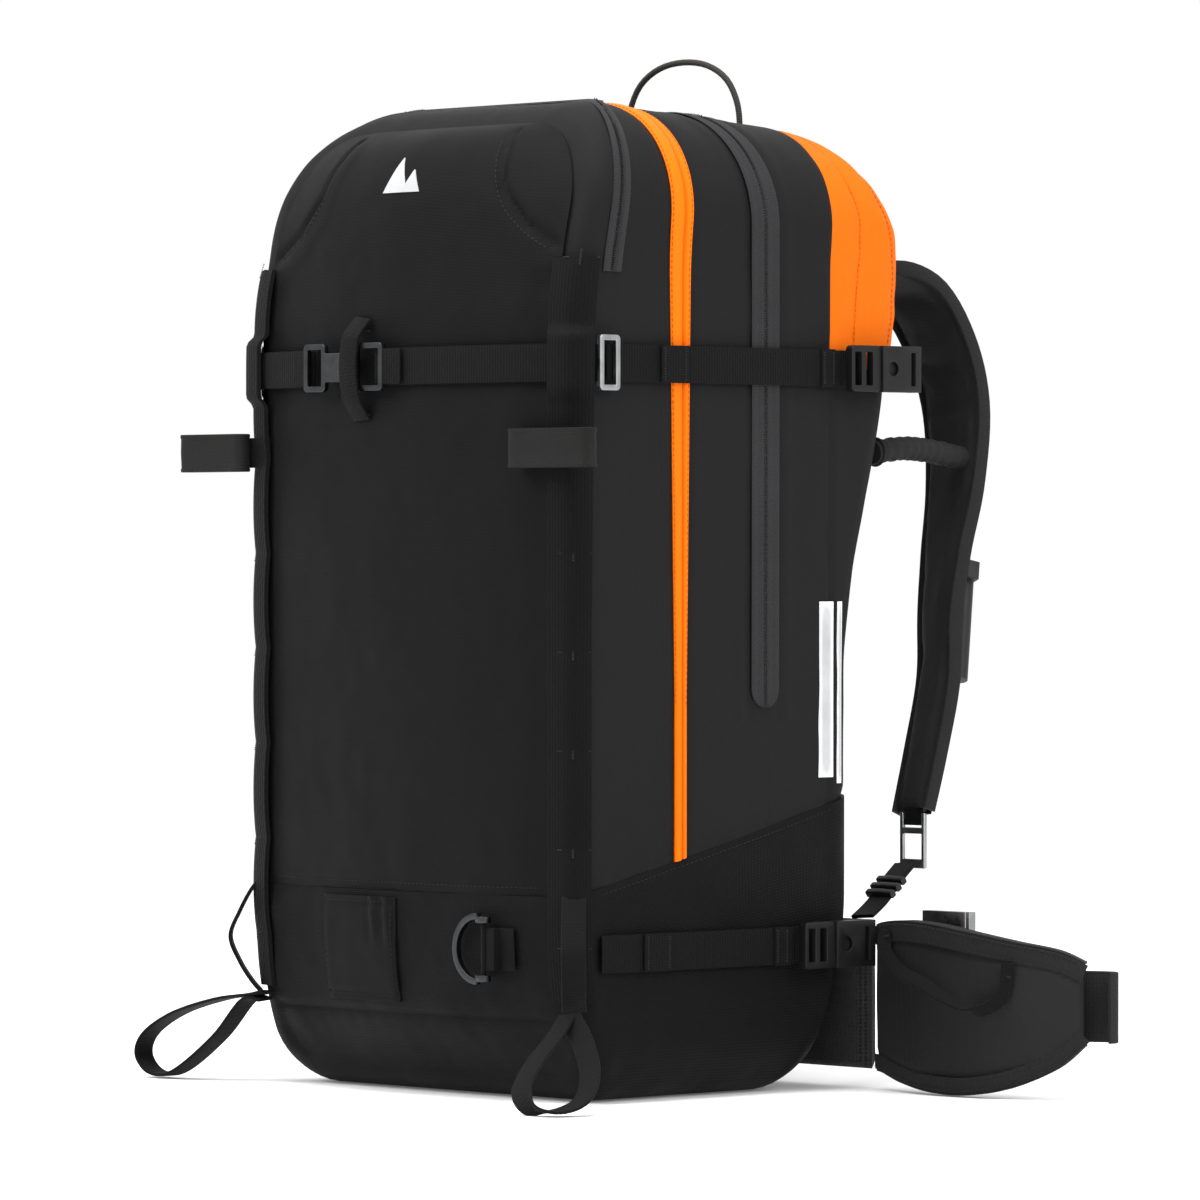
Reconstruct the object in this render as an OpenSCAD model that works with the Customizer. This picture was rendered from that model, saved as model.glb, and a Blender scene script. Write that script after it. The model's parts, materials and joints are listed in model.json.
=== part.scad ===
/* [Bag] */
// Width of the bag over its side panels
bag_w = 300; // [250:1:360]
// Height of the bag's crown above the floor
bag_h = 618; // [515:1:742]
// Depth from the origin to the front face
front_depth = 125; // [104:1:150]
// Depth from the origin to the back face at the waist
back_depth = 118; // [98:1:142]
// Radius of the two top corners, seen from the front
top_r = 75; // [60:1:90]
// Radius of the two bottom corners, seen from the front
base_r = 35; // [28:1:42]
// Radius of the front edges
front_edge_r = 16; // [12:1:20]
// Radius of the back edges
back_edge_r = 18; // [14:1:22]
// How far the front face bulges at its middle
front_puff = 13; // [8:1:16]
// How far the side panels bulge at their middle
side_puff = 4; // [2:0.5:6]
// How far the airbag compartment pushes the back face out
airbag_puff = 47; // [38:1:56]
// Thickness of the fabric with its lining
fabric_t = 2.5; // [2:0.1:3]

/* [Panels] */
// Height of the pocket flap at the crown
flap_h = 98; // [92:1:110]
// Depth of the crown's curved part, down to the upper strap
crown_h = 166; // [140:1:190]
// Height of the boot's seam at the front
seam_front_z = 127; // [115:1:140]
// Height of the boot's seam at the back
seam_back_z = 185; // [160:1:200]
// Where the main zip lies on the side, from the origin
main_zip_y = -38; // [-46:1:-32]
// Width of the main zip's tape
main_zip_w = 16; // [14:1:18]
// Where the side zip lies on the side, from the origin
side_zip_y = 34; // [28:1:41]
// Width of the side zip's tape
side_zip_w = 24; // [20:1:28]
// Height of the side zip's lower end
side_zip_z = 240; // [200:1:280]
// Where the airbag cover begins, from the origin
cover_y = 95; // [80:1:100]
// Thickness of the padded back panel
back_pad_t = 12; // [9:1:14]
// Gap round the pocket flap's edge
flap_gap = 0.6; // [0.5:0.1:1]

/* [Webbing and hardware] */
// Width of the compression webbing
web_w = 23; // [19:1:27]
// Thickness of the webbing
web_t = 1.8; // [1.5:0.1:2.2]
// Height of the lower side strap
lower_strap_z = 92; // [80:1:105]
// Width of the webbing loops at the base
loop_web_w = 15; // [12:1:18]
// Height of the side-release buckles
buckle_h = 29; // [26:1:35]
// Thickness of the buckle sockets
buckle_t = 9; // [8:0.5:11]
// Clearance round the buckle's tongue
buckle_gap = 0.5; // [0.4:0.1:0.8]
// Diameter of the metal wire in rings and frames
wire_d = 3.5; // [3:0.1:4.2]
// Distance between the bar tacks on the front webbing
tack_pitch = 60; // [50:1:72]

/* [Harness] */
// Distance of a shoulder strap's root from the middle
strap_root_x = 70; // [60:1:84]
// Width of a shoulder strap at its root
strap_w = 60; // [50:1:66]
// Thickness of a shoulder strap
strap_t = 12; // [10:1:14]
// Height of the hip belt
belt_h = 106; // [88:1:112]
// Thickness of the hip belt
belt_t = 14; // [12:1:17]
// Width of the belt webbing
belt_web_w = 44; // [37:1:50]

/* [Airbag system] */
// Diameter of the gas cartridge
cartridge_d = 46; // [38:1:55]
// Length of the gas cartridge
cartridge_l = 170; // [142:1:200]
// Diameter of the cartridge's neck
neck_d = 18; // [15:1:22]
// Clearance of the neck in the inflation unit
neck_gap = 0.05; // [0.03:0.01:0.08]
// Diameter of the trigger pin
pin_d = 5; // [4:0.5:6]
// Clearance of the trigger pin
pin_gap = 0.05; // [0.03:0.01:0.08]
// Length of the trigger grip
grip_l = 78; // [66:1:90]
// Diameter of the cord in the haul loop
cord_d = 4; // [3:0.5:5]

/* [Hidden] */
$fn = 48;

black = "#262628";
black_web = "#1c1c1e";
orange = "#ff7d12";
steel = "#a4a7ab";
plastic = "#161618";

// The bag's outline
half_w = bag_w / 2;
crown_z = bag_h - crown_h;
flap_z = bag_h - flap_h;
top_side_z = bag_h - top_r;
low_z = side_zip_z;
crown_in = 65;       // how far the front leans back at the crown
back_crown_in = 60;  // how far the back leans forward at the crown
back_drop = 12;      // how much lower the crown is at the back
toe_in = 30;         // how far the front tucks under at the floor
toe_h = 130;
heel_in = 45;        // how far the back tucks under at the floor
heel_h = 125;
bulge_z = 250;       // where the airbag's bulge begins
lay_gap = 0.2;       // gap under a tape that lies on the skin
web_gap = 1.6;       // gap under a strap, which clears the zip tapes
zip_t = 1.2;
panel_cut = 0.003;   // share of the depth or width that keeps two panels' edges apart
face_cols = 12;

// Distance round the outline from the crown's middle
flat_top = half_w - top_r;
arc_top = top_r * PI / 2;
t_corner = flat_top + arc_top;
t_foot = t_corner + bag_h - top_r - base_r;
arc_base = base_r * PI / 2;
t_end = t_foot + arc_base;

function clamp(x, lo, hi) = min(max(x, lo), hi);
function mix(a, b, k) = a + (b - a) * k;
function ease(k) = let (c = clamp(k, 0, 1)) c * c * (3 - 2 * c);
function steps(a, b, n) = [for (i = [0:n]) mix(a, b, i / n)];
function rest(list) = [for (i = [1:len(list) - 1]) list[i]];
function turned(list) = [for (i = [len(list) - 1:-1:0]) list[i]];
function unit(v) = v / norm(v);
function round_over(e, r) = e < r ? r - sqrt(r * r - pow(r - e, 2)) : 0;

// Point of the outline [x, z] at distance t from the crown's middle, d inside the skin
function outline(t, d) =
    let (s = sign(t), a = abs(t))
    a < flat_top ? [t, bag_h - d] :
    a < t_corner ? let (w = (a - flat_top) / top_r * 180 / PI)
        [s * (flat_top + (top_r - d) * sin(w)), top_side_z + (top_r - d) * cos(w)] :
    a < t_foot ? [s * (half_w - d), top_side_z - (a - t_corner)] :
    let (w = (a - t_foot) / base_r * 180 / PI)
        [s * (half_w - base_r + (base_r - d) * cos(w)), base_r - (base_r - d) * sin(w)];

// Distance round the outline to height z on the straight side
function t_at(z) = t_corner + top_side_z - z;

function crown_k(z) = clamp((z - crown_z) / crown_h, 0, 1);
function toe(z) = z < toe_h ? toe_in * pow(1 - z / toe_h, 3) : 0;
function heel(z) = z < heel_h ? heel_in * pow(1 - z / heel_h, 2) : 0;

// Front face's place at its edges, and across it where k runs from -1 to 1
function lean(z) = crown_in * (1 - sqrt(1 - pow(crown_k(z), 2)));
function front_y(z, d) = -front_depth + toe(z) + lean(z) + d;
function puff_fade(z) =
    sqrt(1 - pow(clamp((z - crown_z) / (bag_h - front_edge_r - crown_z), 0, 1), 4));
function face_y(z, k, d) =
    front_y(z, d) - (1 - k * k) * (front_puff * ease(z / 60) + 0.9 * lean(z)) * puff_fade(z);
function back_y(z, d) =
    let (c = clamp((z - flap_z) / flap_h, 0, 1))
    back_depth - heel(z) + airbag_puff * ease((z - bulge_z) / (flap_z - bulge_z))
    - back_crown_in * (1 - sqrt(1 - c * c)) - d;
function drop(v, z) = back_drop * v * ease(crown_k(z));

// Point of the skin at t round the outline and v from the front edge (0) to the back edge (1)
function skin_v(t, v, d) =
    let (z0 = outline(t, 0)[1], depth = back_y(z0, 0) - front_y(z0, 0),
         e = round_over(v * depth, front_edge_r) + round_over((1 - v) * depth, back_edge_r),
         p = outline(t, d + e))
    [p[0] * (1 + side_puff / half_w * sin(180 * v) * ease((p[1] - d) / 60)),
        mix(front_y(p[1], d), back_y(p[1], d), v),
        p[1] - drop(v, p[1])];
function v_at(t, y) =
    let (z = outline(t, 0)[1])
    clamp((y - front_y(z, 0)) / (back_y(z, 0) - front_y(z, 0)), 0, 1);
function skin(t, y, d) = skin_v(t, v_at(t, y), d);

// Points of the front and back faces, where k runs across them from -1 to 1
function front_pt(k, t, d) =
    let (p = outline(t, front_edge_r + d)) [k * p[0], face_y(p[1], k, d), p[1]];
function back_pt(k, t, d) =
    let (p = outline(t, back_edge_r + d)) [k * p[0], back_y(p[1], d), p[1] - drop(1, p[1])];
function front_at(x, z) = face_y(z, clamp(x / (half_w - front_edge_r), -1, 1), 0);

// Stations down the outline, shared by every panel so that their edges match
function arc_stations() = steps(flat_top, t_corner, 6);
function upper_stations(z_low) = concat([0], arc_stations(), [t_at(flap_z)],
    rest([for (z = steps(flap_z, z_low, 3)) t_at(z)]));
function mid_stations() = rest([for (z = steps(crown_z, low_z, 3)) t_at(z)]);
function seam_z(y) =
    mix(seam_front_z, seam_back_z, clamp((y + front_depth) / (front_depth + back_depth), 0, 1));
function mirrored(list) = concat([for (t = turned(rest(list))) -t], list);

// How far a point has come over the crown, from the sides (0) to the flat top (1)
function over_top(t) = ease((t_corner + 40 - abs(t)) / (arc_top + 40));

// Closed solid between two grids of points, rows x columns = outwards on the outer one
module slab(outer, inner) {
    n = len(outer);
    m = len(outer[0]);
    o = n * m;
    quads = concat(
        [for (i = [0:n - 2], j = [0:m - 2])
            [i * m + j, i * m + j + 1, (i + 1) * m + j + 1, (i + 1) * m + j]],
        [for (i = [0:n - 2], j = [0:m - 2])
            [o + i * m + j, o + (i + 1) * m + j, o + (i + 1) * m + j + 1, o + i * m + j + 1]],
        [for (i = [0:n - 2]) [i * m, (i + 1) * m, o + (i + 1) * m, o + i * m]],
        [for (i = [0:n - 2])
            [i * m + m - 1, o + i * m + m - 1, o + (i + 1) * m + m - 1, (i + 1) * m + m - 1]],
        [for (j = [0:m - 2]) [j, o + j, o + j + 1, j + 1]],
        [for (j = [0:m - 2])
            [(n - 1) * m + j, (n - 1) * m + j + 1, o + (n - 1) * m + j + 1, o + (n - 1) * m + j]]);
    tris = [for (q = quads) each [[q[0], q[1], q[2]], [q[0], q[2], q[3]]]];
    polyhedron(points = concat([for (r = outer) each r], [for (r = inner) each r]), faces = tris);
}

// Closed solid swept through rings of points, each counter-clockwise seen from the far end
module loft(rings) {
    n = len(rings);
    m = len(rings[0]);
    sides = [for (i = [0:n - 2], j = [0:m - 1]) let (k = (j + 1) % m)
        each [[i * m + j, (i + 1) * m + j, (i + 1) * m + k], [i * m + j, (i + 1) * m + k, i * m + k]]];
    first = [for (j = [0:m - 1]) j];
    last = [for (j = [m - 1:-1:0]) (n - 1) * m + j];
    polyhedron(points = [for (r = rings) each r], faces = concat(sides, [first], [last]));
}

function tangent(path, i) = unit(path[min(i + 1, len(path) - 1)] - path[max(i - 1, 0)]);

// Flat webbing or padding along a path, its width along across, edges cut by bevel
module ribbon(path, across, width, thick, bevel = 0) {
    rings = [for (i = [0:len(path) - 1])
        let (a = is_list(across[0]) ? across[i] : across,
             tg = tangent(path, i),
             nm = unit(cross(tg, a)),
             wd = unit(cross(nm, tg)),
             w = (is_list(width) ? width[i] : width) / 2,
             h = (is_list(thick) ? thick[i] : thick) / 2,
             b = bevel,
             flat = [[-w, -h], [w, -h], [w, h], [-w, h]],
             cut = [[-w + b, -h], [w - b, -h], [w, -h + b], [w, h - b],
                    [w - b, h], [-w + b, h], [-w, h - b], [-w, -h + b]])
        [for (p = (b > 0 ? cut : flat)) path[i] + p[0] * wd + p[1] * nm]];
    loft(rings);
}

// Smooth path through a list of points, n steps to each stretch
function spline(p, n) = concat(
    [for (i = [0:len(p) - 2], s = [0:n - 1])
        let (a = p[max(i - 1, 0)], b = p[i], c = p[i + 1], d = p[min(i + 2, len(p) - 1)], u = s / n)
        0.5 * (2 * b + (c - a) * u + (2 * a - 5 * b + 4 * c - d) * u * u
            + (3 * b - a - 3 * c + d) * u * u * u)],
    [p[len(p) - 1]]);

module both_sides() {
    children();
    mirror([1, 0, 0]) children();
}

module round_rect(w, h, r) {
    square([w, h - 2 * r], center = true);
    square([w - 2 * r, h], center = true);
    for (x = [-1, 1], y = [-1, 1]) translate([x * (w / 2 - r), y * (h / 2 - r)]) circle(r);
}

// Flat rectangular frame of wire or plastic, w across x, h along z, t thick along y
module frame_ring(w, h, rim, t) {
    rotate([90, 0, 0]) translate([0, 0, -t / 2]) linear_extrude(t) difference() {
        round_rect(w, h, 3);
        square([w - 2 * rim, h - 2 * rim], center = true);
    }
}

// A band of the gusset between two places y, over the crown and down to the boot's seam,
// with its columns at the given shares of its width
module gusset_band(ya, ya_top, yb, yb_top, stations, low_steps, shares) {
    n = len(stations);
    station = function (i, v) i < n ? stations[i] :
        t_at(mix(low_z, seam_z(mix(-front_depth, back_depth, v)), (i - n + 1) / low_steps));
    count = n + low_steps - 1;
    edge_v = function (t, y, y_top) v_at(t, mix(y, y_top, over_top(t)));
    at = function (r, share, d)
        let (i = abs(r), t = i < n ? stations[i] : t_at(seam_front_z),
             v = mix(edge_v(t, ya, ya_top), edge_v(t, yb, yb_top), share))
        skin_v(sign(r) * station(i, v), v, d);
    grid = function (d) [for (r = [-count:count]) [for (share = shares) at(r, share, d)]];
    slab(grid(0), grid(fabric_t));
}

// ---- Shell of the bag ----

// Shares of the depth for the panels' columns, close together at the rounded edges
edge_vs = [0, 0.006, 0.018, 0.036, 0.06, 0.095];
side_vs = concat(edge_vs, [0.3, 0.5, 0.7], [for (v = turned(edge_vs)) 1 - 1.15 * v]);

// Floor of the bag, flat where it stands and turned up at its front and back
module base_panel() {
    vs = [for (v = side_vs) min(v, 1 - panel_cut)];
    profile = function (d) [for (v = vs) let (p = skin_v(t_end, v, d)) [p[1], p[2]]];
    span = bag_w - 2 * base_r;
    color(black) translate([-span / 2, 0, 0]) rotate([90, 0, 90]) linear_extrude(span)
        polygon(concat(profile(0), turned(profile(fabric_t))));
}

// Lower wrap: round the left side, the front and the right side, up to the slanted seam
module boot() {
    rows = 8;
    arc_rows = 4;
    low_t = function (j, y) j <= arc_rows ? t_end - arc_base * j / arc_rows :
        t_at(mix(base_r, seam_z(y), (j - arc_rows) / (rows - arc_rows)));
    side_pt = function (s, v, j, d)
        let (y = mix(-front_depth, back_depth, v)) skin_v(s * low_t(j, y), v, d);
    grid = function (d) concat(
        [for (v = turned(side_vs)) [for (j = [0:rows]) side_pt(-1, v, j, d)]],
        [for (k = rest(steps(-1, 1, face_cols))) [for (j = [0:rows])
            front_pt(k, low_t(j, -front_depth), d)]],
        [for (v = rest(side_vs)) [for (j = [0:rows]) side_pt(1, v, j, d)]]);
    color(black) slab(grid(0), grid(fabric_t));
}

module front_face(stations, d0, d1, k0 = -1, k1 = 1, cols = face_cols) {
    grid = function (d) [for (k = steps(k0, k1, cols)) [for (t = stations) front_pt(k, t, d)]];
    slab(grid(d0), grid(d1));
}

module front_panel() {
    zs = concat(steps(seam_front_z, low_z, 2), rest(steps(low_z, crown_z, 3)),
        rest(steps(crown_z, flap_z, 3)));
    color(black) front_face([for (z = zs) t_at(z)], 0, fabric_t);
}

// Lid of the front pocket, cut back all round by the flap's gap
module pocket_flap() {
    cut = flap_gap / (half_w - front_edge_r);
    ts = concat([t_at(flap_z + flap_gap)], turned(arc_stations()));
    rim = function (k, t, d) front_pt(k, t, d) - [0, 0, flap_gap * (t < t_at(flap_z + 1) ? 1 : 0)];
    grid = function (d) [for (k = steps(-1 + cut, 1 - cut, face_cols)) [for (t = ts) rim(k, t, d)]];
    color(black) slab(grid(0), grid(fabric_t));
}

// Patch that covers an ice axe's pick, over the front of the boot
module pick_patch() {
    ks = [-0.50, 0.02];
    ts = [for (z = steps(58, seam_front_z - 4, 5)) t_at(z)];
    color(black) front_face(ts, -lay_gap - 3, -lay_gap, ks[0], ks[1], 6);
}

// Wall between the front pocket and the main compartment
divider_y = -54;
module pocket_divider() {
    wall_t = 2;
    ts = mirrored(concat(upper_stations(crown_z), mid_stations(), [t_at(120), t_foot]));
    pts = [for (t = ts) let (p = skin(t, divider_y, fabric_t + 1)) [p[0], p[2]]];
    floor_pts = [[half_w - base_r, 3.2], [-half_w + base_r, 3.2]];
    color(black) translate([0, divider_y + wall_t, 0]) rotate([90, 0, 0]) linear_extrude(wall_t)
        polygon(concat(pts, floor_pts));
}

all_stations = concat(upper_stations(crown_z), mid_stations());
main_zip_top_y = main_zip_y + 12;
zip_half = main_zip_w / 2;

module front_gusset() {
    color(black) gusset_band(-front_depth, -front_depth, main_zip_y - zip_half,
        main_zip_top_y - zip_half, all_stations, 2, [0, 0.02, 0.06, 0.12, 0.21, 0.6, 1]);
}

module main_zip() {
    color(orange) gusset_band(main_zip_y - zip_half, main_zip_top_y - zip_half,
        main_zip_y + zip_half, main_zip_top_y + zip_half, all_stations, 2, [0, 1]);
}

module side_gusset() {
    color(black) gusset_band(main_zip_y + zip_half, main_zip_top_y + zip_half, cover_y,
        cover_y + 8, all_stations, 2, steps(0, 1, 5));
}

// Grid of one side's skin between stations ts and places ys, at depth d
function side_grid(ts, ys, d) = [for (t = ts) [for (y = ys) skin(t, y, d)]];

// Tape that lies on the skin over the crown, down to height z on both sides
module over_tape(y0, y1, z, d0, d1) {
    ts = mirrored(concat(upper_stations(crown_z), rest([for (s = steps(crown_z, z, 3)) t_at(s)])));
    slab(side_grid(ts, [y0, y1], d0), side_grid(ts, [y0, y1], d1));
}

module side_zip() {
    color(black_web) over_tape(side_zip_y - side_zip_w / 2, side_zip_y + side_zip_w / 2, low_z,
        -lay_gap - zip_t, -lay_gap);
}

// Tape of the pocket zip, just behind the flap's edge
pocket_zip_gap = lay_gap + 0.3;
module pocket_zip() {
    v0 = 0.068;
    v1 = 0.12;
    ts = mirrored(concat([0], arc_stations(), [t_at(flap_z), t_at(flap_z - 12)]));
    grid = function (d) [for (t = ts) [for (v = [v0, v1]) skin_v(t, v, d)]];
    color(black_web) slab(grid(-pocket_zip_gap - zip_t), grid(-pocket_zip_gap));
}

back_shares = [0, 0.4, 0.7, 0.82, 0.9, 0.96, 1];

// Side panels behind the gusset, below the airbag cover
module rear_gusset() {
    ts = concat([t_at(crown_z)], mid_stations());
    n = len(ts);
    station = function (i, y) i < n ? ts[i] : t_at(mix(low_z, seam_z(y), (i - n + 1) / 2));
    at = function (i, share, d)
        let (t = i < n ? ts[i] : t_at(seam_front_z), v = mix(v_at(t, cover_y) + panel_cut / 2, 1, share))
        skin_v(station(i, mix(-front_depth, back_depth, v)), v, d);
    grid = function (d) [for (i = [0:n + 1]) [for (share = back_shares) at(i, share, d)]];
    color(black) both_sides() slab(grid(0), grid(fabric_t));
}

module airbag_cover() {
    ts = mirrored(upper_stations(crown_z));
    grid = function (d) [for (t = ts) let (y0 = mix(cover_y, cover_y + 8, over_top(t)))
        [for (share = back_shares) skin_v(t, mix(v_at(t, y0), 1, share), d)]];
    color(orange) slab(grid(0), grid(fabric_t));
}

// Rows of the back face, bottom to top, as distances round the outline
arc_rows_base = [for (j = [0:4]) t_end - arc_base * j / 4];
back_rows = concat(arc_rows_base,
    rest([for (z = steps(base_r, seam_back_z, 4)) t_at(z)]),
    rest([for (z = steps(seam_back_z, low_z, 2)) t_at(z)]),
    rest([for (z = steps(low_z, crown_z, 3)) t_at(z)]),
    rest([for (z = steps(crown_z, flap_z, 3)) t_at(z)]), turned(arc_stations()));

module back_face(rows, k0, k1, d0, d1, cols = 8) {
    grid = function (d) [for (t = rows) [for (k = steps(k0, k1, cols)) back_pt(k, t, d)]];
    slab(grid(d0), grid(d1));
}

module back_panel() {
    color("#2b2b2d") translate([0, 0.3, 0]) back_face(back_rows, -1 + 3 * panel_cut, 1 - 3 * panel_cut, 0, back_pad_t);
}

// ---- Inside the bag ----

// Rows of the back face that lie between two heights
function rows_between(z0, z1) = [for (t = back_rows) if (outline(t, 0)[1] > z0 && outline(t, 0)[1] < z1) t];

sheet_gap = 0.4;
sheet_t = 1.5;
module frame_sheet() {
    d = back_pad_t + sheet_gap;
    color("#d8d8d4") back_face(rows_between(50, crown_z + 1), -0.8, 0.8, d, d + sheet_t, 4);
}

module frame_stays() {
    d = back_pad_t + sheet_t + 2 * sheet_gap;
    color(steel) both_sides() back_face(rows_between(80, crown_z - 20), 0.42, 0.51, d, d + 3, 1);
}

module folded_airbag() {
    ts = mirrored(upper_stations(crown_z + 20));
    grid = function (d) [for (t = ts) [for (v = [v_at(t, cover_y + 12), 0.92]) skin_v(t, v, d)]];
    color("#e0561c") slab(grid(fabric_t + 1), grid(34));
}

unit_x = -40;
unit_y = 72;
unit_z = 330;
unit_h = 62;
unit_d = 56;
pin_z = unit_z + 29;
pin_l = 44;

// Jet pump that fills the airbag, with a socket for the cartridge and a bore for the pin
module inflation_unit() {
    color(plastic) difference() {
        union() {
            translate([unit_x, unit_y, unit_z]) cylinder(d = unit_d, h = unit_h);
            translate([unit_x, unit_y, unit_z + unit_h]) cylinder(d1 = unit_d, d2 = 36, h = 22);
        }
        translate([unit_x, unit_y, unit_z - 1]) cylinder(d = neck_d + 2 * neck_gap, h = 25);
        translate([unit_x, unit_y, unit_z + 34]) cylinder(d = 24, h = 60);
        translate([unit_x + 8, unit_y, pin_z]) rotate([0, 90, 0])
            cylinder(d = pin_d + 2 * pin_gap, h = 40);
    }
}

module gas_cartridge() {
    neck_l = 22;
    shoulder = 12;
    color("#9fb7c4") translate([unit_x, unit_y, unit_z - 6 - cartridge_l]) {
        cylinder(d = cartridge_d, h = cartridge_l - shoulder);
        translate([0, 0, cartridge_l - shoulder])
            cylinder(d1 = cartridge_d, d2 = neck_d, h = shoulder);
        translate([0, 0, cartridge_l]) cylinder(d = neck_d, h = neck_l);
    }
}

// Firing pin, pulled out of the unit by the cable
module trigger_pin() {
    x0 = unit_x + 12;
    color(steel) translate([x0, unit_y, pin_z]) rotate([0, 90, 0]) {
        cylinder(d = pin_d, h = pin_l);
        translate([0, 0, pin_l - 4]) cylinder(d = pin_d + 4, h = 4);
    }
}

// Cable housing from the pin to the sleeve, behind the frame sheet's edge
sleeve_z = 400;
module cable_housing() {
    route = [[unit_x + 84, unit_y, pin_z], [90, 82, pin_z + 13], [122, 98, sleeve_z - 12],
        [138, 112, sleeve_z - 2]];
    color(plastic) tube(spline(route, 6), 2.5, 8);
}

module tube(path, r, sides) {
    up = [0, 0, 1];
    rings = [for (i = [0:len(path) - 1])
        let (tg = tangent(path, i),
             side = unit(cross(abs(tg[2]) > 0.9 ? [1, 0, 0] : up, tg)), nm = cross(tg, side))
        [for (j = [0:sides - 1]) let (w = 360 * j / sides)
            path[i] + r * (cos(w) * side + sin(w) * nm)]];
    loft(rings);
}

// ---- Webbing and hardware on the bag ----

function on_side(z, y, d) = skin(t_at(z), y, d);

// Webbing flat on the right side panel between places y0 and y1
module side_web(z, w, y0, y1, d0, d1, n) {
    zs = [z - w / 2, z + w / 2];
    grid = function (d) [for (y = steps(y0, y1, n)) [for (s = zs) on_side(s, y, d)]];
    slab(grid(d0), grid(d1));
}

ring_y = -front_depth + front_edge_r + 6;
upper_join_y = 124;
lower_join_y = 83;
keeper_t = 1.2;
strap_out = web_gap + web_t;

// One side strap with its keeper, from the front ring or corner to the buckle
module side_strap(z, y0, join_y, fold_y) {
    side_web(z, web_w, y0, join_y - 4, -strap_out, -web_gap, 8);
    side_web(z, web_w + 1, join_y - 46, join_y - 34, -strap_out - lay_gap - keeper_t,
        -strap_out - lay_gap, 1);
    side_web(z, web_w, fold_y, fold_y + 22, -strap_out - lay_gap - web_t, -strap_out - lay_gap, 2);
}

module upper_side_straps() {
    color(black_web) both_sides() side_strap(crown_z, ring_y + 4, upper_join_y, -56);
}

module lower_side_straps() {
    color(black_web) both_sides() side_strap(lower_strap_z, ring_y, lower_join_y, -70);
}

buckle_x = half_w + side_puff + strap_out + keeper_t + lay_gap + 0.8;
tongue_l = 16;
socket_l = 34;
tongue_w = buckle_h - 11;
tongue_t = 3.5;

// Socket of a side-release buckle on the right side, its mouth towards the front
module buckle_socket(join_y, z) {
    gap = buckle_gap;
    translate([buckle_x, join_y, z - buckle_h / 2]) difference() {
        cube([buckle_t, socket_l, buckle_h]);
        translate([buckle_t / 2 - tongue_t / 2 - gap, -1, (buckle_h - tongue_w) / 2 - gap])
            cube([tongue_t + 2 * gap, tongue_l + 2 + gap, tongue_w + 2 * gap]);
        translate([buckle_t / 2, tongue_l / 2 + 1, buckle_h / 2]) rotate([0, 90, 0])
            cylinder(d = 9, h = buckle_t);
        translate([-1, socket_l - 9, 4]) cube([buckle_t + 2, 4, buckle_h - 8]);
    }
}

module buckle_sockets() {
    color(plastic) both_sides() {
        buckle_socket(upper_join_y, crown_z);
        buckle_socket(lower_join_y, lower_strap_z);
        socket_tail(upper_join_y, crown_z);
        socket_tail(lower_join_y, lower_strap_z);
    }
}

// Stub of webbing that ties a socket to the bag's back edge
module socket_tail(join_y, z) {
    x0 = half_w + 1.7;
    y0 = join_y + 8;
    translate([x0, y0, z - web_w / 2]) cube([buckle_x - x0, 14, web_w]);
}

// Plug with a two-bar ladder frame; it slides out of its socket towards the front
module buckle_plug(join_y, z) {
    ladder_l = 26;
    body_t = 6;
    translate([buckle_x, join_y, z]) {
        translate([buckle_t / 2 - body_t / 2, -ladder_l / 2 - 0.6, 0]) rotate([90, 0, 90])
            linear_extrude(body_t) difference() {
                round_rect(ladder_l, buckle_h, 3);
                for (y = [-7, 3]) translate([y, 0]) square([6, buckle_h - 8], center = true);
            }
        translate([buckle_t / 2 - tongue_t / 2, -1, -tongue_w / 2])
            cube([tongue_t, tongue_l + 1, tongue_w]);
    }
}

module upper_buckle_right() { color(plastic) buckle_plug(upper_join_y, crown_z); }
module upper_buckle_left() { mirror([1, 0, 0]) upper_buckle_right(); }
module lower_buckle_right() { color(plastic) buckle_plug(lower_join_y, lower_strap_z); }
module lower_buckle_left() { mirror([1, 0, 0]) lower_buckle_right(); }

// Front strap: a left part that ends at the hook and a right part that ends at the ring
hook_x = -67;
ring_x = -17;
ring_w = 27;
ring_h = 30;
module front_strap() {
    edge = half_w - front_edge_r;
    ts = [t_at(crown_z - web_w / 2), t_at(crown_z + web_w / 2)];
    color(black_web) {
        front_face(ts, -1 - web_t, -1, -1, (hook_x - 4) / edge, 5);
        front_face(ts, -1 - web_t, -1, (ring_x + 3) / edge, 1, 8);
        both_sides() corner_web(crown_z, -1 - web_t, -1);
    }
}

// Webbing round a front edge, from the face to the ring on the side
module corner_web(z, d0, d1) {
    vs = steps(0, v_at(t_at(z), ring_y - 2), 5);
    grid = function (d) [for (v = vs) [for (s = [z - web_w / 2, z + web_w / 2])
        skin_v(t_at(s), v, d)]];
    slab(grid(d0), grid(d1));
}

hardware_y = face_y(crown_z, 0.1, 0) - 1 - web_t - 0.6 - wire_d / 2;

// Ladder frame with a hook that catches the front ring
module front_hook() {
    color("#3a3c3f") {
        translate([hook_x, hardware_y, crown_z]) frame_ring(20, ring_h, 3.5, wire_d);
        translate([hook_x + 9, hardware_y - wire_d / 2, crown_z - 9])
            cube([ring_x - ring_w / 2 - hook_x - 10, wire_d, 18]);
    }
}

module strap_rings() {
    side_x = half_w + side_puff + 1.5;
    color(steel) {
        translate([ring_x, hardware_y, crown_z]) frame_ring(ring_w, ring_h, wire_d, wire_d);
        both_sides() translate([side_x + wire_d / 2, ring_y, crown_z]) rotate([0, 0, 90])
            frame_ring(17, ring_h + 4, wire_d, wire_d);
    }
}

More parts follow.
